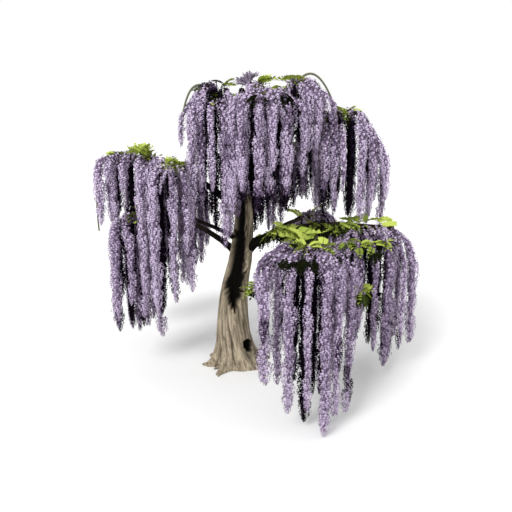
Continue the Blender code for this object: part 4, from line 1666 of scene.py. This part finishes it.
@dataclass(frozen=True)
class Spray:
    """Clumps of leaves along a stretch of a bough or a mass's stem, or near a place among its strands.

    seed     seed of its random numbers
    leaves   leaves in each clump
    size     length of a leaf
    rise     how steeply the leaves of a clump rise, from the least to the most
    dark     share of the leaves that are in shade, whatever their slope
    stretch  shares of the curve between which the clumps stand
    clumps   number of clumps
    near     place among the strands, for one clump there instead
    aim      azimuths in degrees between which the leaves head
    green    colour of all the leaves, instead of one that goes by their slope
    """

    seed: int
    leaves: int
    size: float
    rise: Pair
    dark: float = 0.2
    stretch: Pair = (0, 0)
    clumps: int = 1
    near: Triple | None = None
    aim: Pair = (0, 360)
    green: Green | None = None


# Sprays in Green.SHADE are near-black clumps of painted shade under and between the lit ones.
SPRAYS = {
    "bough_right": (Spray(1, 9, 0.11, (-1.0, 0.5), 0.55, (0.45, 0.98), 5),),
    "bough_right_front": (Spray(2, 14, 0.13, (-1.3, 0.9), 0.3, (0.02, 0.98), 7),),
    "bough_right_far": (
        Spray(3, 10, 0.12, (-0.8, 0.6), 0.3, (0.05, 0.98), 7),
        Spray(41, 8, 0.13, (-2.0, -0.6), 0.2, (0.4, 0.98), 4, green=Green.SHADE),
    ),
    "mass_low_front": (
        Spray(4, 14, 0.13, (-1.2, 1.0), 0.3, (0.02, 0.3), 3),
        Spray(22, 20, 0.14, (-1.4, 1.2), 0.25, near=(0.94, -1.6, 2.08)),
        Spray(23, 20, 0.14, (-1.4, 1.2), 0.25, near=(0.74, -1.6, 2.06)),
        Spray(40, 14, 0.12, (-1.4, 0.8), 0.25, near=(0.6, -1.45, 1.98)),
        Spray(24, 9, 0.13, (-0.7, 0.2), near=(0.85, -1.72, 2.08), green=Green.SHADE),
        Spray(32, 9, 0.13, (-0.7, 0.2), near=(1.12, -1.7, 2.02), green=Green.SHADE),
        Spray(44, 10, 0.1, (-0.6, 0.2), near=(0.4, -1.86, 2.24), green=Green.SHADE),
        Spray(45, 12, 0.1, (-0.6, 0.2), near=(0.62, -1.98, 2.24), green=Green.SHADE),
        Spray(46, 12, 0.1, (-0.6, 0.2), near=(0.88, -1.98, 2.22), green=Green.SHADE),
    ),
    "mass_low_right": (
        Spray(5, 11, 0.12, (-1.5, 0.2), 0.4, (0.0, 0.6), 6, aim=(170, 370)),
        Spray(33, 9, 0.12, (-0.4, 0.8), near=(1.4, -0.5, 1.9), aim=(150, 390)),
        Spray(34, 9, 0.12, (-0.4, 0.8), near=(1.56, -0.6, 1.93), aim=(150, 390)),
        Spray(35, 9, 0.12, (-0.4, 0.8), near=(1.72, -0.6, 1.93), aim=(150, 390)),
        Spray(36, 9, 0.12, (-0.4, 0.8), near=(1.88, -0.5, 1.92), aim=(150, 390)),
        Spray(37, 10, 0.12, (-1.0, 0.2), near=(1.8, -0.68, 1.84), green=Green.SHADE),
        Spray(6, 22, 0.15, (-1.4, 0.9), near=(1.70, -0.7, 1.27)),
    ),
    "mass_upper_left": (
        Spray(7, 16, 0.15, (-0.2, 3.0), 0.0, (0.42, 0.62), 2),
        Spray(8, 5, 0.13, (-0.4, 0.7), 0.0, (0.6, 1.0), 4, aim=(130, 230)),
    ),
    "mass_mid_left": (Spray(9, 8, 0.13, (0.0, 1.8), 0.0, (0.4, 1.0), 3, aim=(90, 270)),),
    "mass_low_left": (Spray(10, 7, 0.12, (-1.2, 1.0), 0.5, (0.0, 0.4), 3),),
    "mass_top_middle": (
        Spray(11, 9, 0.14, (0.3, 1.8), 0.0, near=(0.34, -0.1, 3.88), aim=(-60, 60)),
        Spray(30, 6, 0.14, (0.6, 1.5), 0.2, (0.9, 1.0), aim=(150, 210), green=Green.BUD),
        Spray(31, 12, 0.12, (1.8, 5.0), 0.2, (0.95, 1.0), green=Green.BUD),
    ),
    "mass_top_left": (
        Spray(12, 6, 0.11, (-0.3, 0.5), 0.2, (0.9, 1.0), green=Green.SHADE),
        Spray(38, 5, 0.14, (0.0, 0.6), 0.2, (0.9, 1.0), aim=(150, 220), green=Green.SHOOT),
        Spray(43, 7, 0.12, (0.1, 1.0), 0.3, near=(-0.02, -0.3, 3.9)),
    ),
    "mass_top_front": (
        Spray(13, 7, 0.13, (-0.8, 0.8), 0.8, (0.4, 0.9), 3),
        Spray(28, 12, 0.14, (-0.6, 0.3), near=(0.52, -0.85, 3.7), green=Green.SHADE),
        Spray(29, 14, 0.13, (-0.6, 0.3), near=(0.22, -0.95, 3.64), green=Green.SHADE),
    ),
    "mass_top_right": (
        Spray(14, 7, 0.13, (-0.4, 1.2), 0.1, (0.2, 1.0), 5),
        Spray(25, 13, 0.12, (-0.2, 0.9), 0.0, near=(0.6, -0.3, 3.85), aim=(120, 420)),
        Spray(42, 10, 0.12, (-0.1, 0.8), 0.0, near=(0.78, -0.3, 3.9)),
        Spray(39, 4, 0.17, (-0.1, 0.2), 0.2, (0.95, 1.0), aim=(-25, 25), green=Green.SHOOT),
    ),
    "mass_upper_right": (Spray(15, 6, 0.13, (-0.8, 1.0), 0.2, (0.3, 0.9), 4),),
    "mass_top_back": (Spray(16, 9, 0.15, (-1.0, 1.2), 0.2, (0.2, 0.9), 6),),
    "mass_back_right": (Spray(17, 9, 0.15, (-1.0, 1.2), 0.2, (0.2, 0.9), 5),),
    "mass_back_right_low": (Spray(18, 9, 0.14, (-1.2, 0.3), 0.2, (0.6, 1.0), 3, aim=(0, 180)),),
    "mass_back_left": (Spray(19, 9, 0.15, (-1.0, 1.2), 0.2, (0.2, 0.9), 5),),
    "mass_back_left_low": (Spray(20, 10, 0.15, (-1.2, 1.0), 0.2, (0.1, 0.8), 5),),
    "trunk_sprout": (Spray(21, 7, 0.13, (-1.2, 1.4), 0.0, (0.35, 1.0), 3),),
}


@dataclass
class Crown:
    """The masses, each as three pieces: twigs, blossom and leaves. It also has the leaves on the boughs.

    heart is the middle of the tree, x and y. Blossom that faces a place between it and the middle of its
    mass, which is inner_shade of the way there, is painted in shade. Blossom that hangs under the fork is
    painted in deep shade, which clears from fork_reach[0] to fork_reach[1] away from fork_place and from
    fork_heights[0] up to fork_heights[1]. A shaded strand's painted shade deepens from shade_depth[0] to
    shade_depth[1] below its mass's crest.
    """

    growth: Growth
    blossom: Blossom = field(default_factory=Blossom)
    foliage: Foliage = field(default_factory=Foliage)
    twig_rings: int = 12
    twig_sides: int = 5
    twig_radii: Pair = (0.010, 0.006)
    stem_from: float = -0.02
    stem_rings: int = 24
    stem_sides: int = 10
    heart: Pair = (0.2, 0.1)
    inner_shade: float = 0.7
    shade_depth: Pair = (0.1, 0.34)
    fork_place: Pair = (0.62, -0.48)
    fork_reach: Pair = (0.54, 0.68)
    fork_heights: Pair = (2.3, 2.85)
    fork_shade: float = 5.5

    def build(self, petals: list[Material], greens: list[Material]) -> None:
        """Makes every mass, and the leaves on the boughs.

        Args:
            petals: Materials in the order of the tints.
            greens: Materials in the order of the greens.
        """
        for mass in MASSES:
            twigs = new_piece(f"{mass.name}_twigs", self.twigs(mass), greens)
            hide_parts(mass.name)
            if mass.strands:
                new_piece(f"{mass.name}_blossom", self.flowers(mass), petals)
            self.build_leaves(mass.name, [self.growth.leaves[mass.name]], greens)
        for bough in BOUGHS:
            self.build_leaves(bough.name, [], greens)

    def build_leaves(self, on: str, sites: list[LeafSites], greens: list[Material]) -> None:
        """Makes the leaves that grow on a bough or a mass, where there are any.

        Args:
            on: Name of the bough or the mass.
            sites: Sites of its leaves, apart from its sprays.
            greens: Materials in the order of the greens.
        """
        sites = sites + [self.spray_sites(on, spray) for spray in SPRAYS.get(on, ())]
        if sites:
            joined = join_all(sites)
            patch = Patch.joined([self.foliage.leaves(joined), self.foliage.stalks(joined)])
            new_piece(f"{on}_leaves", patch, greens)

    def flowers(self, mass: Mass) -> Patch:
        """All the blossom of a mass, with the cores of its strands.

        Args:
            mass: The mass.

        Returns:
            The blossom, finished by tint.
        """
        draws = np.random.default_rng(mass.seed + BLOSSOM_SEED)
        strands = self.growth.strands[mass.name]
        made = []
        for strand in strands:
            # Painted shade: strands further in are darker.
            tone = mass.tone + 0.5 * (1 - strand.share) + 0.9 * (draws.random() - 0.5)
            for spirals in (self.blossom.racemes(strand, tone, draws), self.blossom.mantle_of(strand, tone)):
                depth = mass.crest - spirals.axis[:, 2]
                spirals.tone += strand.shade * smoothstep(*self.shade_depth, depth)
                made.append(spirals)
        middle = np.array(mass.centre) + self.inner_shade * (np.array(self.heart) - mass.centre)
        spirals = join_all(made)
        spirals.tone += self.under_fork(spirals.axis)
        florets = self.blossom.florets(spirals, middle, draws)
        return Patch.joined([florets, self.blossom.cores(strands)])

    def under_fork(self, places: Array) -> Array:
        """How much darker blossom is painted, as shade, for hanging under the fork.

        Args:
            places: Where it hangs.

        Returns:
            Shades in tints.
        """
        away = np.linalg.norm(places[:, :2] - self.fork_place, axis=1)
        near = 1 - smoothstep(*self.fork_reach, away)
        return self.fork_shade * near * (1 - smoothstep(*self.fork_heights, places[:, 2]))

    def twigs(self, mass: Mass) -> Patch:
        """The stem of a mass, the bare start of each strand, and its whip, which is finished as a shoot.

        Args:
            mass: The mass.

        Returns:
            The tubes.
        """
        stem, strands = self.growth.stems[mass.name], self.growth.strands[mass.name]
        path = bezier(*stem, np.linspace(self.stem_from, 1, self.stem_rings))
        radii = np.linspace(*self.growth.stem_radii, self.stem_rings)
        plane = unit(np.cross(stem[1] - stem[0], stem[2] - stem[1]) + 1e-9)
        tubes = [(sweep(path[None], radii[None], self.stem_sides, plane[None]), Green.TWIG)]
        if strands:
            steps = [np.linspace(0, strand.arch_length(), self.twig_rings) for strand in strands]
            paths = np.array([resample(strand.path, wanted) for strand, wanted in zip(strands, steps)])
            radii = np.tile(np.linspace(*self.twig_radii, self.twig_rings), (len(strands), 1))
            planes = np.array([strand.plane() for strand in strands])
            tubes.append((sweep(paths, radii, self.twig_sides, planes), Green.TWIG))
        if mass.whip:
            path = self.growth.whip_path(mass, self.stem_rings)
            radii = np.linspace(*self.growth.whip_radii, self.stem_rings)
            plane = unit(np.cross(path[1] - path[0], path[-1] - path[-2]))
            tubes.append((sweep(path[None], radii[None], self.twig_sides, plane[None]), Green.SHOOT))
        return Patch.joined([Patch.plain(tube, number_of(green)) for tube, green in tubes])

    def spray_sites(self, on: str, spray: Spray) -> LeafSites:
        """Where the leaves of a spray grow.

        A leaf is painted darker as shade: by up to 2.6 greens where it heads down, and 3 if one of those in
        shade.

        Args:
            on: Name of the bough or the mass.
            spray: The spray.

        Returns:
            The sites.
        """
        draws = np.random.default_rng(spray.seed)
        curve = self.growth.stems.get(on) or self.growth.curves[on]
        low, high = spray.stretch
        middles = (np.arange(spray.clumps) + 0.2 + 0.6 * draws.random(spray.clumps)) / spray.clumps
        middles = bezier(*curve, low + (high - low) * middles)
        if spray.near:
            paths = np.vstack([strand.path[3:] for strand in self.growth.strands[on]])
            middles = paths[[np.argmin(np.linalg.norm(paths - spray.near, axis=1))]]
        count = spray.clumps * spray.leaves
        angle = np.radians(spray.aim[0] + (spray.aim[1] - spray.aim[0]) * draws.random(count))
        rise = spray.rise[0] + (spray.rise[1] - spray.rise[0]) * draws.random(count)
        headings = unit(np.stack([np.cos(angle), np.sin(angle), rise], axis=1))
        roots = np.repeat(middles, spray.leaves, axis=0) + 0.03 * headings
        sizes = spray.size * (0.7 + 0.5 * draws.random(count))
        shaded = 2.6 * smoothstep(-0.3, 0.75, -headings[:, 2]) + 3 * (draws.random(count) < spray.dark)
        greens = np.clip(np.floor(shaded + 0.9 * draws.random(count)), 0, 3).astype(int)
        if spray.green:
            greens = np.full(count, number_of(spray.green))
        return LeafSites(roots, headings, sizes, greens)


@dataclass
class Studio:
    """The plain floor, the soft light and the camera at the photo's viewing angle."""

    camera_place: Triple = (0.27, -8.0, 3.6)
    camera_tilt: float = 75.8
    camera_sight: float = 300.0
    lens: float = 42.26
    floor_size: float = 160.0
    floor_colour: Triple = (0.93, 0.93, 0.93)
    floor_roughness: float = 0.9
    sky: float = 0.8
    key_way: Triple = (52.0, 0.0, -32.0)
    key_strength: float = 2.35
    key_softness: float = 24.0
    fill_way: Triple = (83.0, 0.0, 6.0)
    fill_strength: float = 1.1
    fill_softness: float = 40.0

    def build(self) -> None:
        """Sets up the floor, the world, the lights and the camera."""
        bpy.context.scene.view_settings.view_transform = "Standard"
        self.lay_floor()
        self.light_world()
        self.add_sun("key", self.key_way, self.key_strength, self.key_softness)
        self.add_sun("fill", self.fill_way, self.fill_strength, self.fill_softness)
        camera = bpy.data.objects.new("camera", bpy.data.cameras.new("camera"))
        camera.data.lens = self.lens
        camera.data.clip_end = self.camera_sight
        camera.location = self.camera_place
        camera.rotation_euler = (math.radians(self.camera_tilt), 0, 0)
        bpy.context.scene.collection.objects.link(camera)
        bpy.context.scene.camera = camera

    def lay_floor(self) -> None:
        """Lays a plain pale square under the tree."""
        half = self.floor_size / 2
        mesh = bpy.data.meshes.new("floor")
        corners = [(-half, -half, 0), (half, -half, 0), (half, half, 0), (-half, half, 0)]
        mesh.from_pydata(corners, [], [(0, 1, 2, 3)])
        mesh.materials.append(SoftFinish("floor", self.floor_colour, self.floor_roughness).make())
        floor = bpy.data.objects.new("floor", mesh)
        bpy.context.scene.collection.objects.link(floor)

    def light_world(self) -> None:
        """Gives the world a plain white that lights the tree less than it shows."""
        world = bpy.data.worlds.new("sky")
        world.use_nodes = True
        tree = world.node_tree
        seen = add_node(tree, "LightPath").outputs["Is Camera Ray"]
        level = add_node(tree, "MapRange", {"To Min": self.sky, "To Max": 1.0}, {"Value": seen})
        background = tree.nodes["Background"].inputs
        tree.links.new(level.outputs["Result"], background["Strength"])
        background["Color"].default_value = (1, 1, 1, 1)
        bpy.context.scene.world = world

    def add_sun(self, title: str, way: Triple, strength: float, softness: float) -> None:
        """Adds a distant light.

        Args:
            title: Its name.
            way: Its turn, in degrees.
            strength: Its strength.
            softness: Its width, in degrees.
        """
        data = bpy.data.lights.new(title, "SUN")
        data.energy = strength
        data.angle = math.radians(softness)
        light = bpy.data.objects.new(title, data)
        light.rotation_euler = tuple(math.radians(turn) for turn in way)
        bpy.context.scene.collection.objects.link(light)


def main() -> None:
    """Grows the tree, makes its pieces in order and sets up the studio."""
    logging.basicConfig(level=logging.INFO, format="%(message)s")
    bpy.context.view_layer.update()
    trunk = Trunk()
    growth = Growth(trunk)
    growth.grow()
    log.info("grown: %d strands", sum(len(made) for made in growth.strands.values()))
    grain = bark_grain()
    trunk.build(TRUNK_BARK.make(grain))
    bough_bark = BOUGH_BARK.make(grain)
    work = BoughWork()
    for number, bough in enumerate(BOUGHS):
        work.build(bough, growth.curves[bough.name], number, bough_bark)
    petals = [SoftFinish(f"petal_{tint.name.lower()}", tint.value).make() for tint in Tint]
    greens = [SoftFinish(f"leaf_{green.name.lower()}", green.value, 0.5, 0.0).make() for green in Green]
    Crown(growth).build(petals, greens)
    Studio().build()


if __name__ == "__main__":
    main()
